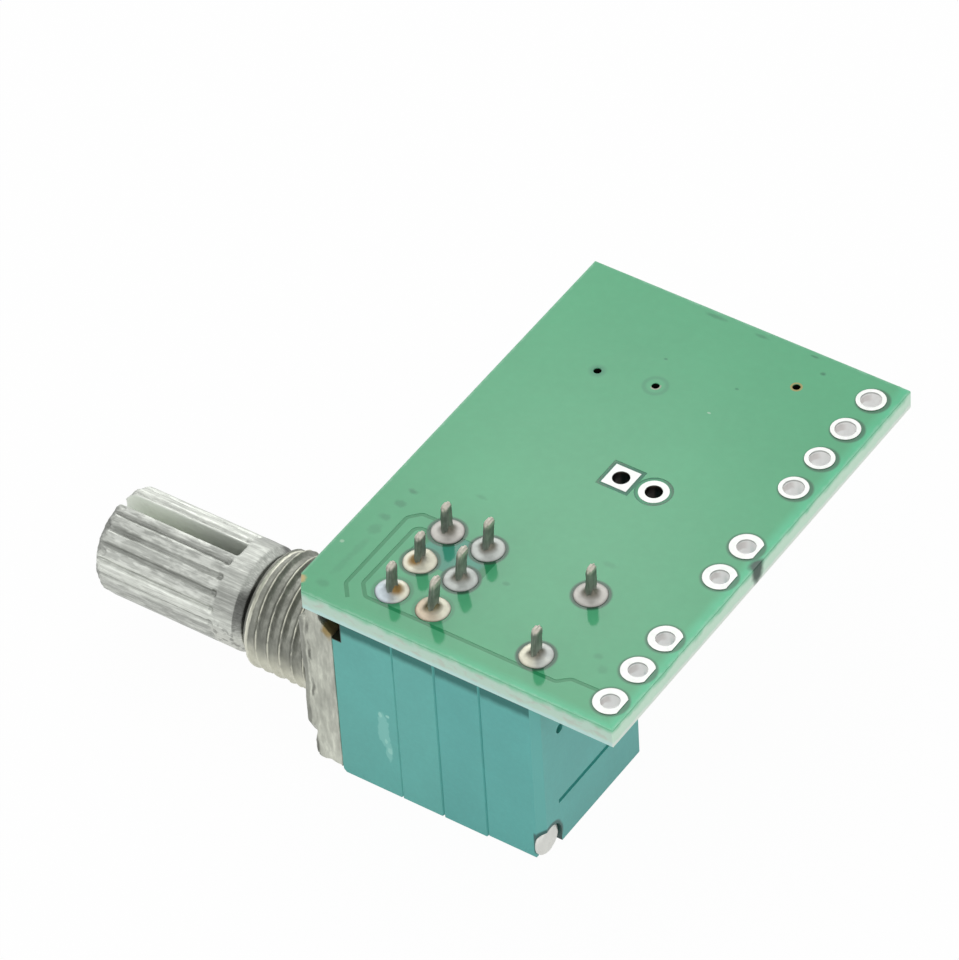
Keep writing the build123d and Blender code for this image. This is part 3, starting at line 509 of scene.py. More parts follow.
def paint_vias(mask, surface):
    """A dark halo at the left one, a ring round the middle one, bare copper at the right one."""
    left = mask.fade(mask.away(*LEFT_VIA), 0.6, 0.2)
    mask.paint(mask.product(left, surface, 0.75), (0.035, 0.22, 0.12))
    middle_via = mask.away(*MIDDLE_VIA)
    halo = mask.product(mask.fade(middle_via, 0.8, 0.65), mask.fade(middle_via, 0.4, 0.6))
    mask.paint(mask.product(halo, surface, 0.6), (0.05, 0.27, 0.14))
    lower_right = mask.fade(mask.math("SUBTRACT", mask.x, mask.y), -9.3, -9.1)
    pink = mask.product(mask.fade(middle_via, 0.34, 0.26), lower_right)
    mask.paint(mask.product(pink, surface, 0.8), (0.42, 0.36, 0.30))
    right = mask.fade(mask.away(*RIGHT_VIA), 0.36, 0.30)
    mask.paint(mask.product(right, surface, 0.85), (0.36, 0.27, 0.07))


def paint_cut_edges(mask):
    """Glass laminate with mask smeared over its upper part, and painted shade on the walls of the
    vias.
    """
    wall = mask.fade(mask.absolute(mask.facing[2]), 0.7, 0.5)
    inside = mask.product(
        mask.fade(mask.x, board_low.x + 0.8, board_low.x + 0.85),
        mask.fade(mask.x, board_high.x - 0.25, board_high.x - 0.3),
        mask.fade(mask.y, board_low.y + 0.25, board_low.y + 0.3),
        mask.fade(mask.y, board_high.y - 0.25, board_high.y - 0.3),
    )
    # The walls of the holes are painted dark, as painted shade where little light reaches
    below_mask = mask.fade(mask.z, BOARD_TOP - 0.045, BOARD_TOP - 0.055)
    mask.paint(mask.product(wall, inside, below_mask), VIA_SHADE)
    side = mask.product(wall, mask.inverse(inside))
    mask.paint(side, LAMINATE)
    pinkish = mask.fade(mask.noise(0.45, 3.0, stretch=(1.5, 1.5, 0.8), shift=6.0), 0.48, 0.68)
    mask.paint(mask.product(side, pinkish, 0.6), PINKISH)
    low = mask.wavy(mask.z, 0.5, 0.3, shift=1.0)
    low = mask.fade(low, BOARD_UNDER + 0.55, BOARD_UNDER + 0.3)
    mask.paint(mask.product(side, low), LOW_EDGE)
    # The right side is painted paler than the near side, as painted light
    right_side = mask.fade(mask.x, board_high.x - 0.1, board_high.x - 0.02)
    mask.paint(mask.product(side, low, right_side), RIGHT_LOW_EDGE_LIT)
    mask.paint(mask.product(side, right_side, mask.inverse(low), 0.8), RIGHT_EDGE_LIT)
    upper = mask.fade(mask.wavy(mask.z, 0.8, 0.7), BOARD_TOP - 0.1, BOARD_TOP + 0.35)
    mask.paint(mask.product(side, upper, 0.85), SMEARED_MASK)
    mask.gloss(side, 0.6)
    mask.bump(mask.product(mask.noise(0.1, 4.0, stretch=(1, 1, 5)), side), 0.02)


def paint_wear(mask, surface):
    """Mask worn off along the edges in places, a tan chip and a smear of ink."""
    away = mask.math("SUBTRACT", board_high.x, mask.x)
    for other in (
        mask.math("SUBTRACT", mask.x, board_low.x),
        mask.math("SUBTRACT", mask.y, board_low.y),
        mask.math("SUBTRACT", board_high.y, mask.y),
    ):
        away = mask.math("MINIMUM", away, other)
    worn = mask.wavy(away, 0.5, 0.3, detail=4.0, shift=2.0)
    mask.paint(mask.product(mask.fade(worn, 0.34, 0.08), surface, 0.5), WORN_MASK)
    chip = mask.blot((mask.x, 0.05, 0.3), (mask.y, -4.15, 0.3), wobble=0.9, soft=0.4)
    mask.paint(mask.product(chip, 0.8), CHIP_TAN)
    ink_places = ((mask.x, board_high.x, 0.42), (mask.y, 8.62, 0.5), (mask.z, 7.9, 0.85))
    ink = mask.blot(*ink_places, wobble=0.6, size=0.4, soft=0.4)
    mask.paint(mask.product(ink, 0.92), INK)


def board_surface():
    mask = Surface("solder_mask", MASK_GREEN, 0.1, specular=0.3)
    top = mask.fade(mask.facing[2], 0.5, 0.7)
    surface = mask.product(top, mask.fade(mask.z, BOARD_TOP - 0.1, BOARD_TOP - 0.06))
    mask.mottle(6.0, 0.03, detail=2.0)
    mask.mottle(0.5, 0.02, detail=4.0, shift=3.0)
    paint_recesses(mask, surface)
    paint_borders(mask, surface)
    paint_flux(mask, surface)
    paint_marks(mask, surface)
    paint_vias(mask, surface)
    paint_cut_edges(mask)
    mask.bump(mask.noise(1.6, 2.0, shift=9.0), 0.003)
    paint_wear(mask, surface)
    return mask.done()


# Moulded body. The painted shadow of the board and the front seam's painted lightening multiply the
# colour below them
TEAL_FRONT = (0.108, 0.452, 0.405)
TEAL_REAR = (0.095, 0.432, 0.395)
BOARD_SHADOW_TINT = (0.15, 0.36, 0.35)
SEAM_LIGHTENING = (1.3, 1.12, 1.12)
CHAMFER_LIT_TEAL = (0.135, 0.475, 0.435)
NOTCH_SHADE_TEAL = (0.015, 0.07, 0.06)
SHADOW_TEAL = (0.012, 0.075, 0.065)
GAP_SHADE = (0.02, 0.02, 0.012)
SCUFFED_TEAL = (0.24, 0.60, 0.54)
FLAKED_TEAL = (0.34, 0.70, 0.62)
NOTCH_FLOOR_X = 14.05
# Flakes round the scuff on the near side: x, z and half sizes
FLAKES = [
    (4.85, 1.25, 0.12, 0.2), (5.3, 1.35, 0.12, 0.1), (5.3, -1.2, 0.14, 0.22), (5.1, -0.6, 0.1, 0.2),
]


def paint_moulded_edges(teal):
    """The front seam is painted lighter below its top, a painted highlight that hides the seam's
    shade, and the chamfer on the cover's back edge is painted lighter so that it shades like the
    back face.
    """
    bevels = teal.product(
        teal.fade(teal.absolute(teal.facing[0]), 0.3, 0.5),
        teal.fade(teal.y, -BODY_HALF + 0.12, -BODY_HALF + 0.1),
    )
    # The bevels of the front seam below its top are painted lighter, a painted highlight against
    # their shade
    lightened_front_seam = teal.product(bevels, teal.fade(teal.x, 7.0, 6.8), teal.fade(teal.z, 5.1, 4.6))
    teal.paint(lightened_front_seam, SEAM_LIGHTENING, "MULTIPLY")
    # The chamfer is painted lighter, as painted light, so that it shades like the back face
    chamfer = teal.product(
        teal.fade(teal.x, 14.1, 14.2),
        teal.fade(teal.facing[0], 0.3, 0.6),
        teal.fade(teal.facing[0], 0.98, 0.9),
    )
    teal.paint(chamfer, CHAMFER_LIT_TEAL)


def paint_notch(teal):
    """Painted shade on the walls of the notch round the near rivet head, and a painted shadow of
    the head.
    """
    beyond_floor = teal.fade(teal.x, NOTCH_FLOOR_X, NOTCH_FLOOR_X + 0.05)
    notch = teal.product(
        beyond_floor,
        teal.fade(teal.y, -4.62, -4.58),
        teal.fade(teal.y, -2.6, -2.8),
        teal.fade(teal.z, -2.0, -2.2),
        teal.fade(teal.facing[0], 0.5, 0.4),
    )
    # Painted shade on the walls of the notch
    teal.paint(notch, NOTCH_SHADE_TEAL)
    from_post = teal.distance((teal.y, -POST_Y, 1.0), (teal.z, POST_Z, 1.0))
    higher = teal.product(teal.fade(teal.z, -2.9, -2.4), -0.1)
    shadow = teal.fade(teal.math("ADD", from_post, higher), 1.16, 1.0)
    shadow = teal.product(shadow, beyond_floor, teal.fade(teal.z, -4.1, -3.8), 0.9)
    teal.paint(shadow, SHADOW_TEAL)


def paint_scuff(teal):
    near = teal.fade(teal.y, -BODY_HALF + 0.1, -BODY_HALF + 0.02)
    scuff = teal.blot((teal.x, 5.0, 0.36), (teal.z, 0.15, 1.2), wobble=0.9, size=0.35, soft=0.12)
    tail_places = ((teal.x, 5.25, 0.22), (teal.z, -1.3, 0.65))
    tail = teal.blot(*tail_places, wobble=1.1, size=0.3, soft=0.15, shift=2.0)
    scuff = teal.product(teal.math("MAXIMUM", scuff, tail), near)
    teal.paint(teal.product(scuff, 0.85), SCUFFED_TEAL)
    for x, z, half_x, half_z in FLAKES:
        places = ((teal.x, x, half_x), (teal.z, z, half_z))
        flake = teal.blot(*places, wobble=1.2, size=0.2, soft=0.3)
        teal.paint(teal.product(flake, near, 0.8), FLAKED_TEAL)
    teal.gloss(scuff, 0.6)


def moulding_surface():
    teal = Surface("teal_moulding", TEAL_FRONT, 0.42)
    teal.paint(teal.fade(teal.x, 8.3, 8.6), TEAL_REAR)
    teal.mottle(3.0, 0.04, detail=2.0)
    teal.mottle(0.25, 0.025, detail=4.0, shift=5.0)
    # Painted shadow of the board in the corner under it
    board_shadow = teal.fade(teal.wavy(teal.z, 0.8, 0.25, shift=4.0), 6.0, 6.5)
    board_shadow = teal.product(board_shadow, teal.fade(teal.facing[1], -0.8, -0.95))
    teal.paint(board_shadow, BOARD_SHADOW_TINT, "MULTIPLY")
    teal.metal(teal.fade(board_shadow, 0.5, 1.0), 0.4)
    paint_moulded_edges(teal)
    paint_notch(teal)
    # Painted shade in the gap behind the plate
    gap = teal.product(teal.fade(teal.x, 2.78, 2.7), teal.fade(teal.z, 5.35, 5.45))
    teal.paint(gap, GAP_SHADE)
    paint_scuff(teal)
    teal.bump(teal.noise(0.12, 3.0), 0.008)
    teal.bump(teal.noise(1.5, 2.0, shift=2.0), 0.012)
    return teal.done()


# Metals
CAST_ZINC = (0.54, 0.555, 0.485)
THREAD_TONE = 0.51
GAP_AMBER = (0.30, 0.20, 0.045)
RIVET_HEAD = (0.74, 0.74, 0.71)
THREAD_FLOOR_REFLECTION = (0.66, 0.66, 0.55)
WORN_CREST_HIGHLIGHT = (0.68, 0.68, 0.57)
BRIGHT_LIP = (0.72, 0.72, 0.62)
SHAFT_STEEL = (0.60, 0.62, 0.575)
TOOTH_GLINT = (0.76, 0.78, 0.73)
LOW_COLLAR = (0.66, 0.67, 0.61)
SLOT_WALL = (0.79, 0.83, 0.755)
TIN = (0.46, 0.473, 0.456)
LIT_HOLE_WALL = (0.97, 0.97, 0.96)
HOLE_STAIN = (0.66, 0.60, 0.58)
EMPTY_HOLE_SHADE = (0.012, 0.010, 0.008)
BROWN_HOLE = (0.12, 0.075, 0.04)
PIN_METAL = (0.27, 0.285, 0.25)
PIN_TIP = (0.60, 0.57, 0.49)


def cast_surface(name, tone=1.0):
    zinc = Surface(name, tuple(c * tone for c in CAST_ZINC), 0.45, metallic=0.85)
    zinc.mottle(1.4, 0.14, detail=4.0, stretch=(1, 1, 2))
    zinc.mottle(0.3, 0.24, detail=5.0, stretch=(1, 1, 4), shift=4.0, roughness=0.6)
    zinc.bump(zinc.noise(0.3, 5.0, stretch=(1, 1, 3)), 0.045)
    zinc.gloss(zinc.noise(0.6, 3.0, shift=8.0), 0.6)
    return zinc


def plate_surface():
    """Cast metal with painted shade in the crack at the step and on the pad's side, amber flux in
    the gap and the two swaged heads.
    """
    zinc = cast_surface("cast_plate")
    wavy = zinc.wavy(zinc.x, 1.1, 0.35, shift=3.0)
    crack = zinc.product(
        zinc.fade(wavy, 0.62, 0.72), zinc.fade(wavy, 0.92, 0.80), zinc.fade(zinc.x, 1.0, 0.8)
    )
    broken = zinc.fade(zinc.noise(0.5, 4.0, stretch=(1, 1, 3), shift=7.0), 0.42, 0.6)
    # Painted shade in the crack at the step
    zinc.shade(zinc.product(crack, broken, 0.9), 0.3)
    # Painted shade on the side of the pad
    zinc.shade(zinc.fade(wavy, 0.6, 0.5), 0.58)
    amber = zinc.blot((zinc.x, 1.9, 0.35), (zinc.z, 5.9, 0.6), wobble=0.8, soft=0.4)
    zinc.paint(zinc.product(amber, 0.8), GAP_AMBER)
    head = zinc.fade(zinc.x, BODY_END - 0.6, BODY_END - 0.45)
    zinc.paint(zinc.product(head, 0.8), RIVET_HEAD)
    return zinc.done()


def thread_surface():
    """Cast metal darkened in the thread, with worn crests that carry a painted highlight and a
    painted reflection of the floor on the lower side.
    """
    zinc = cast_surface("threaded_zinc", THREAD_TONE)
    # Painted reflection of the floor on the lower side
    floor_reflection = zinc.fade(zinc.wavy(zinc.z, 1.0, 1.2, shift=3.0), 1.4, -0.6)
    zinc.paint(zinc.product(floor_reflection, 0.9), THREAD_FLOOR_REFLECTION)
    # Crests worn bright, with a painted highlight
    crest = zinc.wavy(zinc.radius(), 0.4, 0.09, detail=4.0)
    crest = zinc.fade(crest, CREST_RADIUS - 0.005, CREST_RADIUS + 0.045)
    zinc.paint(zinc.product(crest, 0.8), WORN_CREST_HIGHLIGHT)
    lip = zinc.wavy(zinc.x, 0.5, 0.08)
    lip = zinc.product(zinc.fade(lip, -4.56, -4.62), zinc.fade(lip, -4.76, -4.70))
    zinc.paint(lip, BRIGHT_LIP)
    return zinc.done()


def paint_knob_end(metal, radius):
    """Painted shade in the grooves, above, below and in a band on the collar, a painted highlight
    streak between, worn teeth with painted glints, and painted shade inside behind the tip face.
    """
    knurl = metal.fade(metal.x, -7.0, -7.3)
    collar = metal.fade(metal.x, -7.3, -7.0)
    # Painted shade in the grooves
    metal.shade(metal.product(metal.fade(radius, 2.90, 2.80), knurl), 0.66)
    # Painted shade on the upper and lower sides of the knurl and on the collar's top
    upper = metal.product(metal.fade(metal.y, 0.6, 0.0), metal.fade(metal.z, 1.0, 1.7))
    metal.shade(metal.product(upper, knurl), 0.68)
    metal.shade(metal.product(metal.fade(metal.z, 1.2, 1.9), collar), 0.8)
    metal.shade(metal.product(metal.fade(metal.z, 0.3, -0.3), knurl), 0.74)
    # Painted highlight along a streak, and painted shade in a band on the collar
    highlight_streak = metal.absolute(metal.math("SUBTRACT", metal.z, 0.5))
    metal.shade(metal.fade(highlight_streak, 0.9, 0.3), 1.14)
    collar_shade_band = metal.product(metal.fade(metal.z, 0.6, 1.0), metal.fade(metal.z, 2.4, 2.0))
    metal.shade(metal.product(collar_shade_band, collar), 0.66)
    # Worn teeth with painted glints
    glint = metal.fade(metal.noise(0.3, 5.0, stretch=(3, 1, 1), shift=9.0), 0.45, 0.6)
    worn = metal.product(metal.fade(radius, 2.9, 2.97), knurl, glint, 0.4)
    metal.paint(worn, TOOTH_GLINT)
    # Painted shade inside the shaft, behind the tip
    inner = metal.product(metal.fade(radius, 2.6, 2.4), metal.fade(metal.x, -14.6, -14.4))
    metal.shade(inner, 0.5)


def paint_collar(metal):
    """A shadow on the shoulder by the bushing, and dirt on the lower side of the collar."""
    shoulder = metal.product(
        metal.fade(metal.x, -5.88, -5.82),
        metal.fade(metal.z, -0.6, 0.6),
        metal.fade(metal.z, 2.5, 2.0),
    )
    metal.shade(shoulder, 0.42)
    low = metal.product(metal.fade(metal.x, -7.3, -7.1), metal.fade(metal.z, 0.4, -0.8), 0.6)
    metal.paint(low, LOW_COLLAR)
    dirty = metal.product(metal.fade(metal.x, -7.15, -7.05), metal.fade(metal.z, 0.9, -0.3))
    dirt = metal.fade(metal.noise(0.4, 4.0, shift=2.0), 0.52, 0.62)
    metal.shade(metal.product(dirty, dirt, 0.7), 0.4)


def paint_slot(metal):
    """Pale walls of the slot, with painted shade towards its end."""
    across = metal.math(
        "SUBTRACT",
        metal.product(metal.y, math.cos(SLOT_TILT)),
        metal.product(metal.z, math.sin(SLOT_TILT)),
    )
    half = SLOT_WIDTH / 2
    walls = metal.fade(metal.absolute(across), half + 0.06, half + 0.03)
    walls = metal.product(walls, metal.fade(metal.x, -6.9, -7.0))
    metal.paint(walls, SLOT_WALL)
    metal.metal(walls, 0.1)
    # Painted shade towards the slot's end
    metal.shade(metal.product(walls, metal.fade(metal.x, -13.0, -7.2)), 0.62)


def shaft_surface():
    metal = Surface("shaft_metal", SHAFT_STEEL, 0.42, metallic=0.9)
    metal.mottle(0.09, 0.27, detail=5.0, stretch=(20, 1, 1), roughness=0.6)
    metal.mottle(0.2, 0.07, detail=5.0, stretch=(2, 1, 1), shift=6.0)
    paint_knob_end(metal, metal.radius())
    paint_collar(metal)
    paint_slot(metal)
    metal.bump(metal.noise(0.16, 4.0, stretch=(8, 1, 1)), 0.025)
    metal.bump(metal.noise(0.5, 3.0, shift=2.0), 0.02)
    metal.gloss(metal.noise(0.5, 3.0, stretch=(3, 1, 1), shift=5.0), 0.6)
    return metal.done()


def tin_surface(name, dark_holes=False):
    """Tinned pads, whose plated holes are pale, partly as tin and partly as painted light from
    below, and stained, or, where left empty, dark as painted shade.
    """
    tin = Surface(name, TIN, 0.3, metallic=0.8)
    tin.mottle(0.3, 0.06, detail=4.0)
    inside = tin.fade(tin.absolute(tin.facing[2]), 0.7, 0.4)
    inside = tin.product(inside, tin.fade(tin.z, BOARD_TOP - 0.02, BOARD_TOP - 0.1))
    if dark_holes:
        brown = tin.fade(tin.z, BOARD_TOP - 0.2, BOARD_TOP - 0.05)
        # Painted shade in the empty holes
        tin.paint(inside, EMPTY_HOLE_SHADE)
        tin.paint(tin.product(inside, brown, 0.7), BROWN_HOLE)
    else:
        # Pale walls: partly the tin plating, partly painted light from below
        tin.paint(inside, LIT_HOLE_WALL)
        tin.metal(inside, 0.25)
        stain = tin.blot((tin.z, BOARD_TOP - 0.35, 0.22), wobble=1.5, size=0.4, soft=0.4)
        left = tin.fade(tin.facing[0], 0.3, 0.8)
        tin.paint(tin.product(inside, stain, left, 0.6), HOLE_STAIN)
    tin.bump(tin.noise(0.35, 3.0), 0.015)
    return tin.done()


def solder_surface():
    """Solder coloured by the tint of each point, darker at the rim."""
    solder = Surface("solder", (0.5, 0.5, 0.5), 0.48, metallic=0.75)
    tint = solder.node("ShaderNodeAttribute", {}, attribute_name="tint")
    solder.colour = tint.outputs["Color"]
    solder.mottle(0.4, 0.10, detail=4.0)
    rim = solder.node("ShaderNodeAttribute", {}, attribute_name="rim").outputs["Fac"]
    solder.shade(solder.fade(rim, 0.88, 1.0), 0.6)
    solder.bump(solder.noise(0.25, 3.0), 0.015)
    return solder.done()


def pin_surface():
    """Dull plated pins with paler tips."""
    pin = Surface("pin_metal", PIN_METAL, 0.5, metallic=0.6)
    pin.mottle(0.2, 0.25, detail=3.0, stretch=(1, 1, 6))
    pin.mottle(0.5, 0.2, detail=3.0, shift=4.0)
    tip = pin.fade(pin.wavy(pin.z, 0.3, 0.3), BOARD_TOP + 1.75, BOARD_TOP + 2.1)
    pin.paint(pin.product(tip, 0.9), PIN_TIP)
    pin.bump(pin.noise(0.15, 3.0, stretch=(1, 1, 4)), 0.03)
    return pin.done()


def plain_surface(name, colour, roughness, metallic=0.0, grain=0.2):
    """Moulded, stamped or fired material of the pieces that hardly show."""
    made = Surface(name, colour, roughness, metallic)
    made.mottle(grain * 6, 0.08)
    made.mottle(grain, 0.08, detail=4.0, shift=3.0)
    made.bump(made.noise(grain, 4.0), 0.01)
    return made.done()


MATERIALS = {
    "board_laminate": board_surface(),
    "tin": tin_surface("tin"),
    "cast_zinc": cast_surface("cast_zinc").done(),
    "shaft_metal": shaft_surface(),
    "spring_steel": plain_surface("spring_steel", (0.42, 0.42, 0.41), 0.32, 1.0),
    "teal_moulding": moulding_surface(),
    "phenolic": plain_surface("phenolic", (0.14, 0.06, 0.025), 0.55, grain=0.4),
    "pale_moulding": plain_surface("pale_moulding", (0.72, 0.70, 0.62), 0.5),
    "bronze": plain_surface("bronze", (0.62, 0.38, 0.19), 0.3, 1.0),
    "plated_brass": pin_surface(),
    "black_moulding": plain_surface("black_moulding", (0.022, 0.022, 0.024), 0.55, grain=0.08),
    "tan_ceramic": plain_surface("tan_ceramic", (0.42, 0.30, 0.19), 0.5),
    "black_ceramic": plain_surface("black_ceramic", (0.025, 0.025, 0.03), 0.35),
}
EMPTY_PADS = tin_surface("empty_pads", dark_holes=True)
for name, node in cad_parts.items():
    for place in node.material_slots:
        slot = place.material.name.split(".")[0]
        place.material = EMPTY_PADS if name == "capacitor_pads" else MATERIALS[slot]


# Pieces made here, in millimetres. Faces within FLAT_ANGLE are one face
MERGE_DISTANCE = 1e-4
FLAT_ANGLE = 0.01
# Roughness, lacunarity and octaves of the fractal noise that shapes worn and cast surfaces
FRACTAL = (1.0, 2.0, 3)


def new_piece(name, vertices, faces, body, slot, material, smooth=True):
    """A mesh from points in millimetres, riding on a body."""
    mesh = bpy.data.meshes.new(name)
    mesh.from_pydata([tuple(v * MM for v in point) for point in vertices], [], faces)
    mesh.validate()
    mesh.polygons.foreach_set("use_smooth", [smooth] * len(mesh.polygons))
    mesh.materials.append(material)
    piece = bpy.data.objects.new(name, mesh)
    scene.collection.objects.link(piece)
    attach(piece, body)
    return piece


def node_mesh(node):
    """An editable copy of a node's mesh."""
    mesh = bmesh.new()
    mesh.from_mesh(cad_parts[node].data)
    bmesh.ops.scale(mesh, vec=(1 / MM,) * 3, verts=mesh.verts)
    bmesh.ops.remove_doubles(mesh, verts=mesh.verts, dist=MERGE_DISTANCE)
    return mesh


def cut_copy(node, cut_x, keep_above):
    """A closed copy of a node, with only what lies on one side of cut_x."""
    mesh = node_mesh(node)
    side = -1 if keep_above else 1
    bmesh.ops.bisect_plane(
        mesh, geom=mesh.verts[:] + mesh.edges[:] + mesh.faces[:],
        plane_co=(cut_x, 0, 0), plane_no=(side, 0, 0), clear_outer=True,
    )
    rims = [e for e in mesh.edges if e.is_boundary]
    bmesh.ops.triangle_fill(mesh, edges=rims, use_beauty=True)
    bmesh.ops.recalc_face_normals(mesh, faces=mesh.faces)
    return mesh


def taken(mesh):
    """The points and faces of an editable mesh, which is freed."""
    mesh.verts.index_update()
    points = [tuple(v.co) for v in mesh.verts]
    faces = [tuple(v.index for v in f.verts) for f in mesh.faces]
    mesh.free()
    return points, faces


def remeshed(mesh, voxel):
    """Points, normals and faces of an editable mesh after a voxel remesh and some smoothing."""
    data = bpy.data.meshes.new("work")
    mesh.to_mesh(data)
    mesh.free()
    work = bpy.data.objects.new("work", data)
    scene.collection.objects.link(work)
    remesh = work.modifiers.new("remesh", "REMESH")
    remesh.mode = "VOXEL"
    remesh.voxel_size = voxel
    smooth = work.modifiers.new("smooth", "SMOOTH")
    smooth.iterations = 2
    smooth.factor = 0.4
    result = work.evaluated_get(bpy.context.evaluated_depsgraph_get()).to_mesh()
    points = np.array([v.co for v in result.vertices])
    normals = np.array([v.normal for v in result.vertices])
    faces = [tuple(p.vertices) for p in result.polygons]
    bpy.data.objects.remove(work)
    return points, normals, faces


def relief(points, size, shift, stretch=(1, 1, 1)):
    """Fractal noise from -1 to 1 at each point."""
    scaled = points / (size * np.array(stretch)) + shift
    return np.array([noise.fractal(Vector(p), *FRACTAL) for p in scaled])


def ramp(values):
    return np.clip(values, 0, 1)


# Board: the CAD sheet with rounded edges, and with its recesses as shallow as they show
EDGE_ROUND = 0.07
NEARBY = 0.01


def on_outline(vertex):
    x, y = vertex.co.x, vertex.co.y
    across = board_low.x + NEARBY <= x <= board_high.x - NEARBY
    along = board_low.y + NEARBY <= y <= board_high.y - NEARBY
    return not (across and along)


def at_corner(edge):
    """Whether the edge joins a flat face of the board to an upright one."""
    if len(edge.link_faces) != 2:
        return False
    first, second = [abs(face.normal.z) for face in edge.link_faces]
    return abs(first - second) > 0.9


# The cut lies beyond the board, which stays whole
mesh = cut_copy("circuit_board", board_high.x + 1.0, False)
bmesh.ops.dissolve_limit(mesh, angle_limit=FLAT_ANGLE, verts=mesh.verts, edges=mesh.edges)
outline = [e for e in mesh.edges if at_corner(e) and all(on_outline(v) for v in e.verts)]
bmesh.ops.bevel(
    mesh, geom=outline, offset=EDGE_ROUND, segments=3, affect="EDGES", clamp_overlap=True
)
for vertex in mesh.verts:
    x, y, z = vertex.co
    if abs(z - (BOARD_TOP - GAP_DEPTH)) < NEARBY / 2:
        border = x > RIGHT_BORDER_X - NEARBY or y < NEAR_BORDER_Y + NEARBY
        vertex.co.z = BOARD_TOP - (BORDER_GAP if border else SHOWN_GAP)
bmesh.ops.triangulate(mesh, faces=mesh.faces)
board_sheet = new_piece(
    "board_sheet", *taken(mesh), "amplifier", "board_laminate",
    MATERIALS["board_laminate"], smooth=False,
)
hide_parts("circuit_board")

# Cast plate: the CAD plate with a rough skin, less the bushing, which has its thread
PLATE_CUT = -0.01
PLATE_VOXEL = 0.08
SKIN_END = 2.0
CRACK_X = 0.75
CRACK_DEPTH = 0.09
CRACK_HALF = 4
BULGE_Z = [-4.2, -4.1, -3.54, -3.05, -2.31, -1.9, -1.7]
BULGE_X = [0.0, 0.0, -0.05, -0.06, 0.10, 0.10, 0.0]
HEAD_START = 14.1
HEAD_REACH = 1.2
HEAD_GROWTH = 1.10

points, normals, faces = remeshed(cut_copy("front_plate", PLATE_CUT, True), PLATE_VOXEL)
x, y, z = points.T
rough = 0.10 * relief(points, 1.3, 3.0, (1, 1, 2.2)) + 0.06 * relief(points, 0.5, 7.0, (1, 1, 2.5))
near = ramp((-4.2 - y) / 0.3) * ramp((0.25 - abs(x - CRACK_X)) / 0.12)
opened = ramp(0.5 + relief(points, 0.8, 11.0, (1, 1, 2)))
crack = CRACK_DEPTH * near * opened * (abs(z) < CRACK_HALF)
points = points + normals * ((np.minimum(rough, 0.0) - crack) * (x < SKIN_END))[:, None]
# The near edge of the front swells and sinks
x, y, z = points.T
bulge = np.interp(z, BULGE_Z, BULGE_X, left=0.0, right=0.0)
x += bulge * ramp((1.1 - x) / 0.4) * ramp((-3.0 - y) / 1.0)
# The two rivet heads are swaged wider
head = x > HEAD_START
for post_y, post_z in ((-POST_Y, POST_Z), (POST_Y, POST_FAR_Z)):
    here = head & (abs(z - post_z) < HEAD_REACH) & (abs(y - post_y) < HEAD_REACH)
    y[here] = post_y + (y[here] - post_y) * HEAD_GROWTH
    z[here] = post_z + (z[here] - post_z) * HEAD_GROWTH
points += normals * (head * np.minimum(0.06 * relief(points, 0.5, 2.0), 0.0))[:, None]
cast_plate = new_piece("cast_plate", points, faces, "amplifier", "cast_zinc", plate_surface())
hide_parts("front_plate")

# Threaded bushing: pitch 0.75, right-handed, shallow and worn
PITCH = 0.75
THREAD_DEPTH = 0.24
CREST_SHARE = 0.10
ROOT_SHARE = 0.35
ROOT_ROUNDNESS = 0.7
LOWER_DEPTH = 0.5
CREST_X = -3.36
CREST_ANGLE = math.radians(127.7)
BUSHING_START = 0.05
BUSHING_END = -5.0
END_CHAMFER = 0.3
RUN_OUT = -0.75
RUN_OUT_LENGTH = 0.5
BORE_RADIUS = 2.53
MOUTH = 0.3
AROUND = 192
STEP = 0.04


def lower_side(angle):
    """1 on the lower side of the bushing, which is worn down, and 0 on its upper side."""
    return clamp(0.5 - 0.9 * math.sin(angle))


def thread_radius(x, angle):
    """Radius at x and angle, where angle 0 is towards +y."""
    phase = ((x - CREST_X) / PITCH - (angle - CREST_ANGLE) / math.tau) % 1.0
    away = min(phase, 1 - phase) * 2
    flank = clamp((away - CREST_SHARE) / (1 - CREST_SHARE - ROOT_SHARE))
    depth = THREAD_DEPTH * (1 - LOWER_DEPTH * lower_side(angle)) * flank ** ROOT_ROUNDNESS
    fading = clamp((RUN_OUT + RUN_OUT_LENGTH - x) / RUN_OUT_LENGTH)
    return min(CREST_RADIUS - depth * fading, CREST_RADIUS - END_CHAMFER + x - BUSHING_END)


def worn_depth(spot, angle):
    """How far a point of the bushing is worn in, never outwards."""
    wear = 0.03 * noise.noise(spot * 2.5) + 0.05 * noise.fractal(spot * 0.9, *FRACTAL)
    wear += 0.08 * lower_side(angle) * noise.fractal(spot * 3.5, *FRACTAL)
    return min(wear, 0.0)


outer_x = list(np.arange(BUSHING_START, BUSHING_END, -STEP)) + [BUSHING_END]
bore = [
    (BUSHING_END, BORE_RADIUS + MOUTH), (BUSHING_END + MOUTH, BORE_RADIUS),
    (BUSHING_START, BORE_RADIUS),
]
vertices = []
for n in range(AROUND):
    angle = math.tau * n / AROUND
    for x, radius in [(x, thread_radius(x, angle)) for x in outer_x] + bore:
        spot = Vector((x, radius * math.cos(angle), radius * math.sin(angle)))
        size = radius + worn_depth(spot, angle)
        vertices.append((x, size * math.cos(angle), size * math.sin(angle)))
section = len(outer_x) + len(bore)
faces = []
for n in range(AROUND):
    here, after = n * section, (n + 1) % AROUND * section
    for k in range(section):
        next_k = (k + 1) % section
        faces.append((here + k, after + k, after + next_k, here + next_k))
new_piece("threaded_bushing", vertices, faces, "amplifier", "cast_zinc", thread_surface())

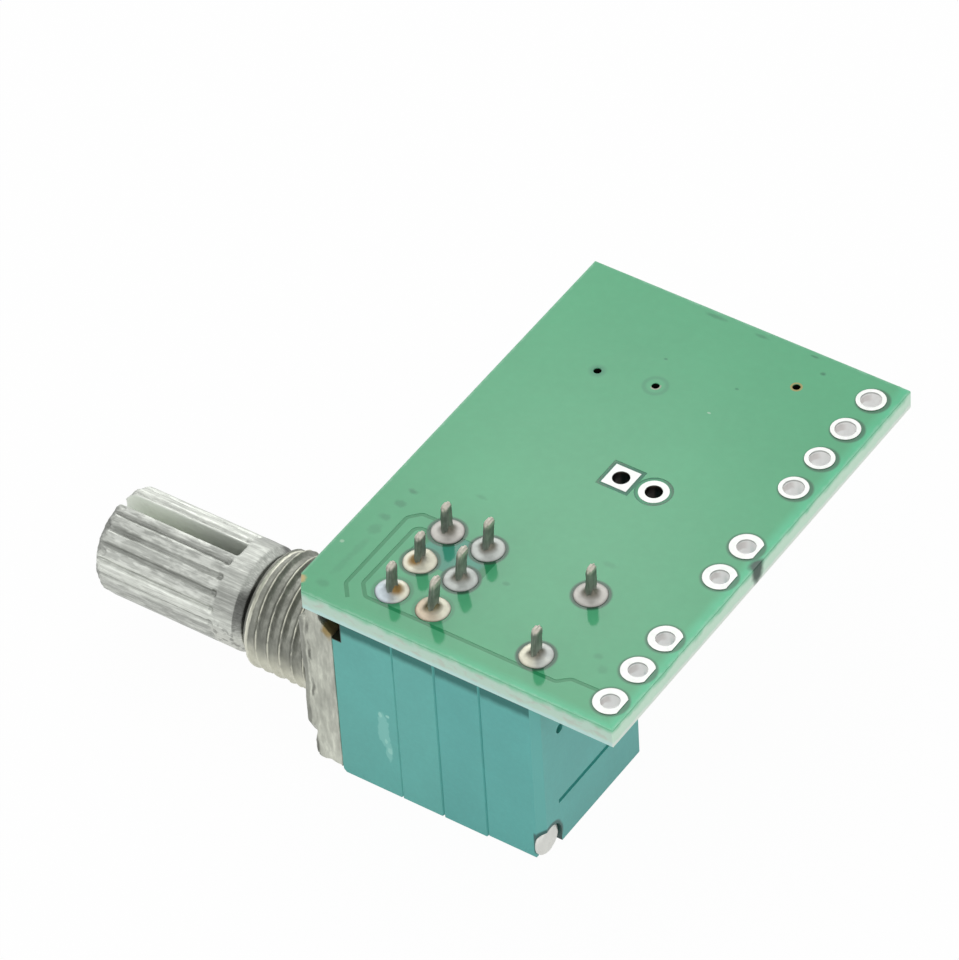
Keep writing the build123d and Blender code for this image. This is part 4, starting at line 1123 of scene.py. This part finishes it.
# Knob end of the shaft, with worn teeth and a rounded tip, and its plain drive end
SHAFT_SPLIT = -5.25
KNOB_VOXEL = 0.07
TIP_ROUND = 0.85
KNURL_END = -7.4
TOOTH_RADIUS = 3.0
TOOTH_DEPTH = 0.27
GROOVE_SHARPNESS = 2.0
LEAST_RADIUS = 0.01

points, normals, faces = remeshed(cut_copy("volume_shaft", SHAFT_SPLIT, False), KNOB_VOXEL)
worn = 0.03 * relief(points, 0.9, 5.0, (2.5, 1, 1)) + 0.02 * relief(points, 0.3, 1.0, (2, 1, 1))
worn = np.minimum(worn, 0.0) * (points[:, 0] < SHAFT_SPLIT - 0.3)
points = points + normals * worn[:, None]
x, y, z = points.T
# The rolled grooves are narrow at their tops
radius = np.hypot(y, z)
across = y * math.cos(SLOT_TILT) - z * math.sin(SLOT_TILT)
rolled = (x < KNURL_END) & (abs(across) > SLOT_WIDTH / 2 + 0.2) & (radius < TOOTH_RADIUS)
rolled = rolled & (radius > TOOTH_RADIUS - 0.3)
sunk = ramp((TOOTH_RADIUS - radius) / TOOTH_DEPTH)
narrowed = TOOTH_RADIUS - TOOTH_DEPTH * sunk ** GROOVE_SHARPNESS
narrowed = np.where(rolled, narrowed, radius)
points[:, 1:] *= (narrowed / np.maximum(radius, LEAST_RADIUS))[:, None]
# The tip is worn round
radius = np.hypot(y, z)
over = ramp((x.min() + TIP_ROUND - x) / TIP_ROUND)
limit = radius.max() - TIP_ROUND * (1 - np.sqrt(1 - over * over)) + 0.15 * relief(points, 0.6, 4.0)
scale = np.where((over > 0) & (radius > limit), limit / np.maximum(radius, LEAST_RADIUS), 1.0)
points[:, 1:] *= scale[:, None]
knob_end = new_piece(
    "shaft_knob_end", points, faces, "shaft_set", "shaft_metal", MATERIALS["shaft_metal"]
)
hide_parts("volume_shaft")
new_piece(
    "shaft_drive_end", *taken(cut_copy("volume_shaft", SHAFT_SPLIT, True)), "shaft_set",
    "shaft_metal", MATERIALS["shaft_metal"], smooth=False,
)

# Terminal pins: the CAD blades with rounded edges, each with its own length and lean
LEAN_TOWARDS = (0.83, 0.556)
LEAN_POWER = 1.3
PIN_STEP = 0.2
PIN_FOOT = 0.1
PIN_SWELL = 1.08
PIN_TAPER = 0.12
PIN_EDGE_ROUND = 0.085
SHARP_ANGLE = 0.6
RAGGED_FROM = 0.8


def stood_up(point, top, pins, row_x, thicker):
    """Where a point of a blade goes, above the board, with its pin's height and lean."""
    x, y, z = point
    pin_y, height, lean = min(pins, key=lambda pin: abs(pin[0] - y))
    share = (z - BOARD_TOP) / (top - BOARD_TOP)
    if share <= 0:
        return x, y, z
    sway = 0.035 * noise.noise(Vector((x, pin_y, z * 1.5))) * share
    skin = 0.025 * noise.noise(Vector((x * 4, y * 4, z * 3)))
    narrow = PIN_SWELL * (1 - PIN_TAPER * share * share)
    leant = lean * share ** LEAN_POWER
    y = pin_y + (y - pin_y) * narrow + sway + skin
    x = row_x + (x - row_x) * thicker + skin + LEAN_TOWARDS[0] * leant
    y += LEAN_TOWARDS[1] * leant
    tip = max(share - RAGGED_FROM, 0) / (1 - RAGGED_FROM)
    ragged = 0.08 * noise.noise(Vector((x * 3, y * 3, 7.0))) * tip
    return x, y, BOARD_TOP + share * height + min(ragged, 0.0)


def pin_piece(name, node, row_x, thicker, pins):
    """pins: (y, height above the board, lean at the tip) for each blade that stands up."""
    mesh = node_mesh(node)
    bmesh.ops.dissolve_limit(mesh, angle_limit=FLAT_ANGLE, verts=mesh.verts, edges=mesh.edges)
    top = max(v.co.z for v in mesh.verts)
    sharp = [e for e in mesh.edges if len(e.link_faces) == 2 and e.calc_face_angle() > SHARP_ANGLE]
    sharp = [e for e in sharp if max(v.co.z for v in e.verts) > BOARD_TOP]
    bmesh.ops.bevel(
        mesh, geom=sharp, offset=PIN_EDGE_ROUND, segments=3, affect="EDGES", clamp_overlap=True
    )
    level = BOARD_TOP + PIN_FOOT
    while level < top - PIN_FOOT:
        everything = mesh.verts[:] + mesh.edges[:] + mesh.faces[:]
        bmesh.ops.bisect_plane(mesh, geom=everything, plane_co=(0, 0, level), plane_no=(0, 0, 1))
        level += PIN_STEP
    bmesh.ops.triangulate(mesh, faces=[f for f in mesh.faces if len(f.verts) > 4])
    points, faces = taken(mesh)
    vertices = [stood_up(point, top, pins, row_x, thicker) for point in points]
    piece = new_piece(
        name, vertices, faces, "amplifier", "plated_brass", MATERIALS["plated_brass"]
    )
    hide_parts(node)


SWITCH_PINS = [(SWITCH_PIN_Y, 2.1, 0.1), (-SWITCH_PIN_Y, 2.03, 0.1)]
pin_piece(
    "front_pins", "front_terminals", FRONT_ROW_X, 1.1,
    [(PIN_PITCH, 2.0, 0.02), (0.0, 2.02, 0.12), (-PIN_PITCH, 2.05, 0.07)],
)
pin_piece(
    "rear_pins", "rear_terminals", REAR_ROW_X, 1.1,
    [(PIN_PITCH, 2.17, 0.16), (0.0, 2.25, 0.22), (-PIN_PITCH, 2.3, 0.27)],
)
pin_piece("switch_spring_pin", "switch_spring", SWITCH_ROW_X, 1.6, SWITCH_PINS)
pin_piece("switch_contact_pin", "switch_contact", SWITCH_ROW_X, 1.6, SWITCH_PINS)

# Solder joints: low domes that climb the pins, filled through the board
JOINT_RADIUS = 0.92
HOLE_RADIUS = 0.545
JOINT_SIDES = 40
# In metres
JOINT_MERGE = 1e-8
# Radius and height above the board of the rings of points, from the pin outwards and down
DOME = [
    (0.0, 0.55), (0.14, 0.5), (0.24, 0.38), (0.32, 0.27), (0.42, 0.19), (0.56, 0.135),
    (0.7, 0.1), (0.82, 0.075), (0.89, 0.045), (JOINT_RADIUS, 0.0),
]
FILLING = [
    (HOLE_RADIUS, -0.005), (HOLE_RADIUS, BOARD_UNDER - BOARD_TOP), (0.4, -1.27), (0.2, -1.3),
    (0.0, -1.31),
]
GREY = (0.46, 0.485, 0.46)
PINK_GREY = (0.44, 0.43, 0.40)
CREAM = (0.62, 0.61, 0.50)
BLUISH = (0.46, 0.52, 0.55)
PEACH = (0.55, 0.47, 0.36)
DARK = (0.16, 0.15, 0.12)
AMBER = (0.25, 0.155, 0.05)
OLIVE = (0.12, 0.10, 0.03)
SOLDER = solder_surface()


def joint_tint(radius, across, sway, left, right, foot, foot_side):
    """Colour of a point, from those on the left, on the right and by the pin."""
    share = clamp(0.5 + 0.8 * across + 0.5 * sway)
    shown = Vector(left).lerp(Vector(right), share)
    reach = 0.56 + 0.1 * sway + 0.16 * foot_side * across
    by_pin = clamp((reach - radius) / 0.25)
    foot_colour = Vector(DARK).lerp(Vector(foot), clamp(0.7 + 1.2 * foot_side * across))
    return (*shown.lerp(foot_colour, by_pin), 1.0)


def solder_piece(name, replaced, joints):
    """joints: (x, y, colour on the left, on the right, by the pin, side of that: -1, 0 or 1)."""
    vertices, faces, rims, tints = [], [], [], []
    for order, (x, y, *colours) in enumerate(joints):
        start = len(vertices)
        for level, (radius, height) in enumerate(DOME + FILLING):
            for n in range(JOINT_SIDES):
                angle = math.tau * n / JOINT_SIDES
                turned_x, turned_y = math.cos(angle), math.sin(angle)
                sway = noise.noise(Vector((turned_x * 1.3, turned_y * 1.3, 4.1 * order + x)))
                on_top = level < len(DOME)
                size = radius * (1 + (0.05 * sway if on_top else 0.0))
                lift = height * (1 + (0.25 * sway if on_top else 0.0))
                vertices.append((x + size * turned_x, y + size * turned_y, BOARD_TOP + lift))
                rims.append(radius / JOINT_RADIUS)
                across = turned_x * LEAN_TOWARDS[0] + turned_y * LEAN_TOWARDS[1]
                tints.extend(joint_tint(radius, across, sway, *colours))
        for level in range(len(DOME + FILLING) - 1):
            for n in range(JOINT_SIDES):
                a = start + level * JOINT_SIDES + n
                b = start + level * JOINT_SIDES + (n + 1) % JOINT_SIDES
                faces.append((a, a + JOINT_SIDES, b + JOINT_SIDES, b))
    piece = new_piece(name, vertices, faces, "amplifier", "tin", SOLDER)
    attributes = piece.data.attributes
    attributes.new("rim", "FLOAT", "POINT").data.foreach_set("value", rims)
    attributes.new("tint", "FLOAT_COLOR", "POINT").data.foreach_set("color", tints)
    mesh = bmesh.new()
    mesh.from_mesh(piece.data)
    bmesh.ops.remove_doubles(mesh, verts=mesh.verts, dist=JOINT_MERGE)
    mesh.to_mesh(piece.data)
    mesh.free()
    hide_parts(replaced)


solder_piece(
    "gang_joints", "gang_solder",
    [
        (FRONT_ROW_X, PIN_PITCH, PINK_GREY, PINK_GREY, DARK, 0),
        (FRONT_ROW_X, 0.0, CREAM, CREAM, AMBER, -1),
        (FRONT_ROW_X, -PIN_PITCH, BLUISH, CREAM, AMBER, 1),
        (REAR_ROW_X, PIN_PITCH, GREY, GREY, DARK, 0),
        (REAR_ROW_X, 0.0, GREY, GREY, DARK, 0),
        (REAR_ROW_X, -PIN_PITCH, PEACH, CREAM, OLIVE, 0),
    ],
)
solder_piece(
    "switch_joints", "switch_solder",
    [
        (SWITCH_ROW_X, -SWITCH_PIN_Y, CREAM, GREY, DARK, 0),
        (SWITCH_ROW_X, SWITCH_PIN_Y, PINK_GREY, PINK_GREY, DARK, 0),
    ],
)
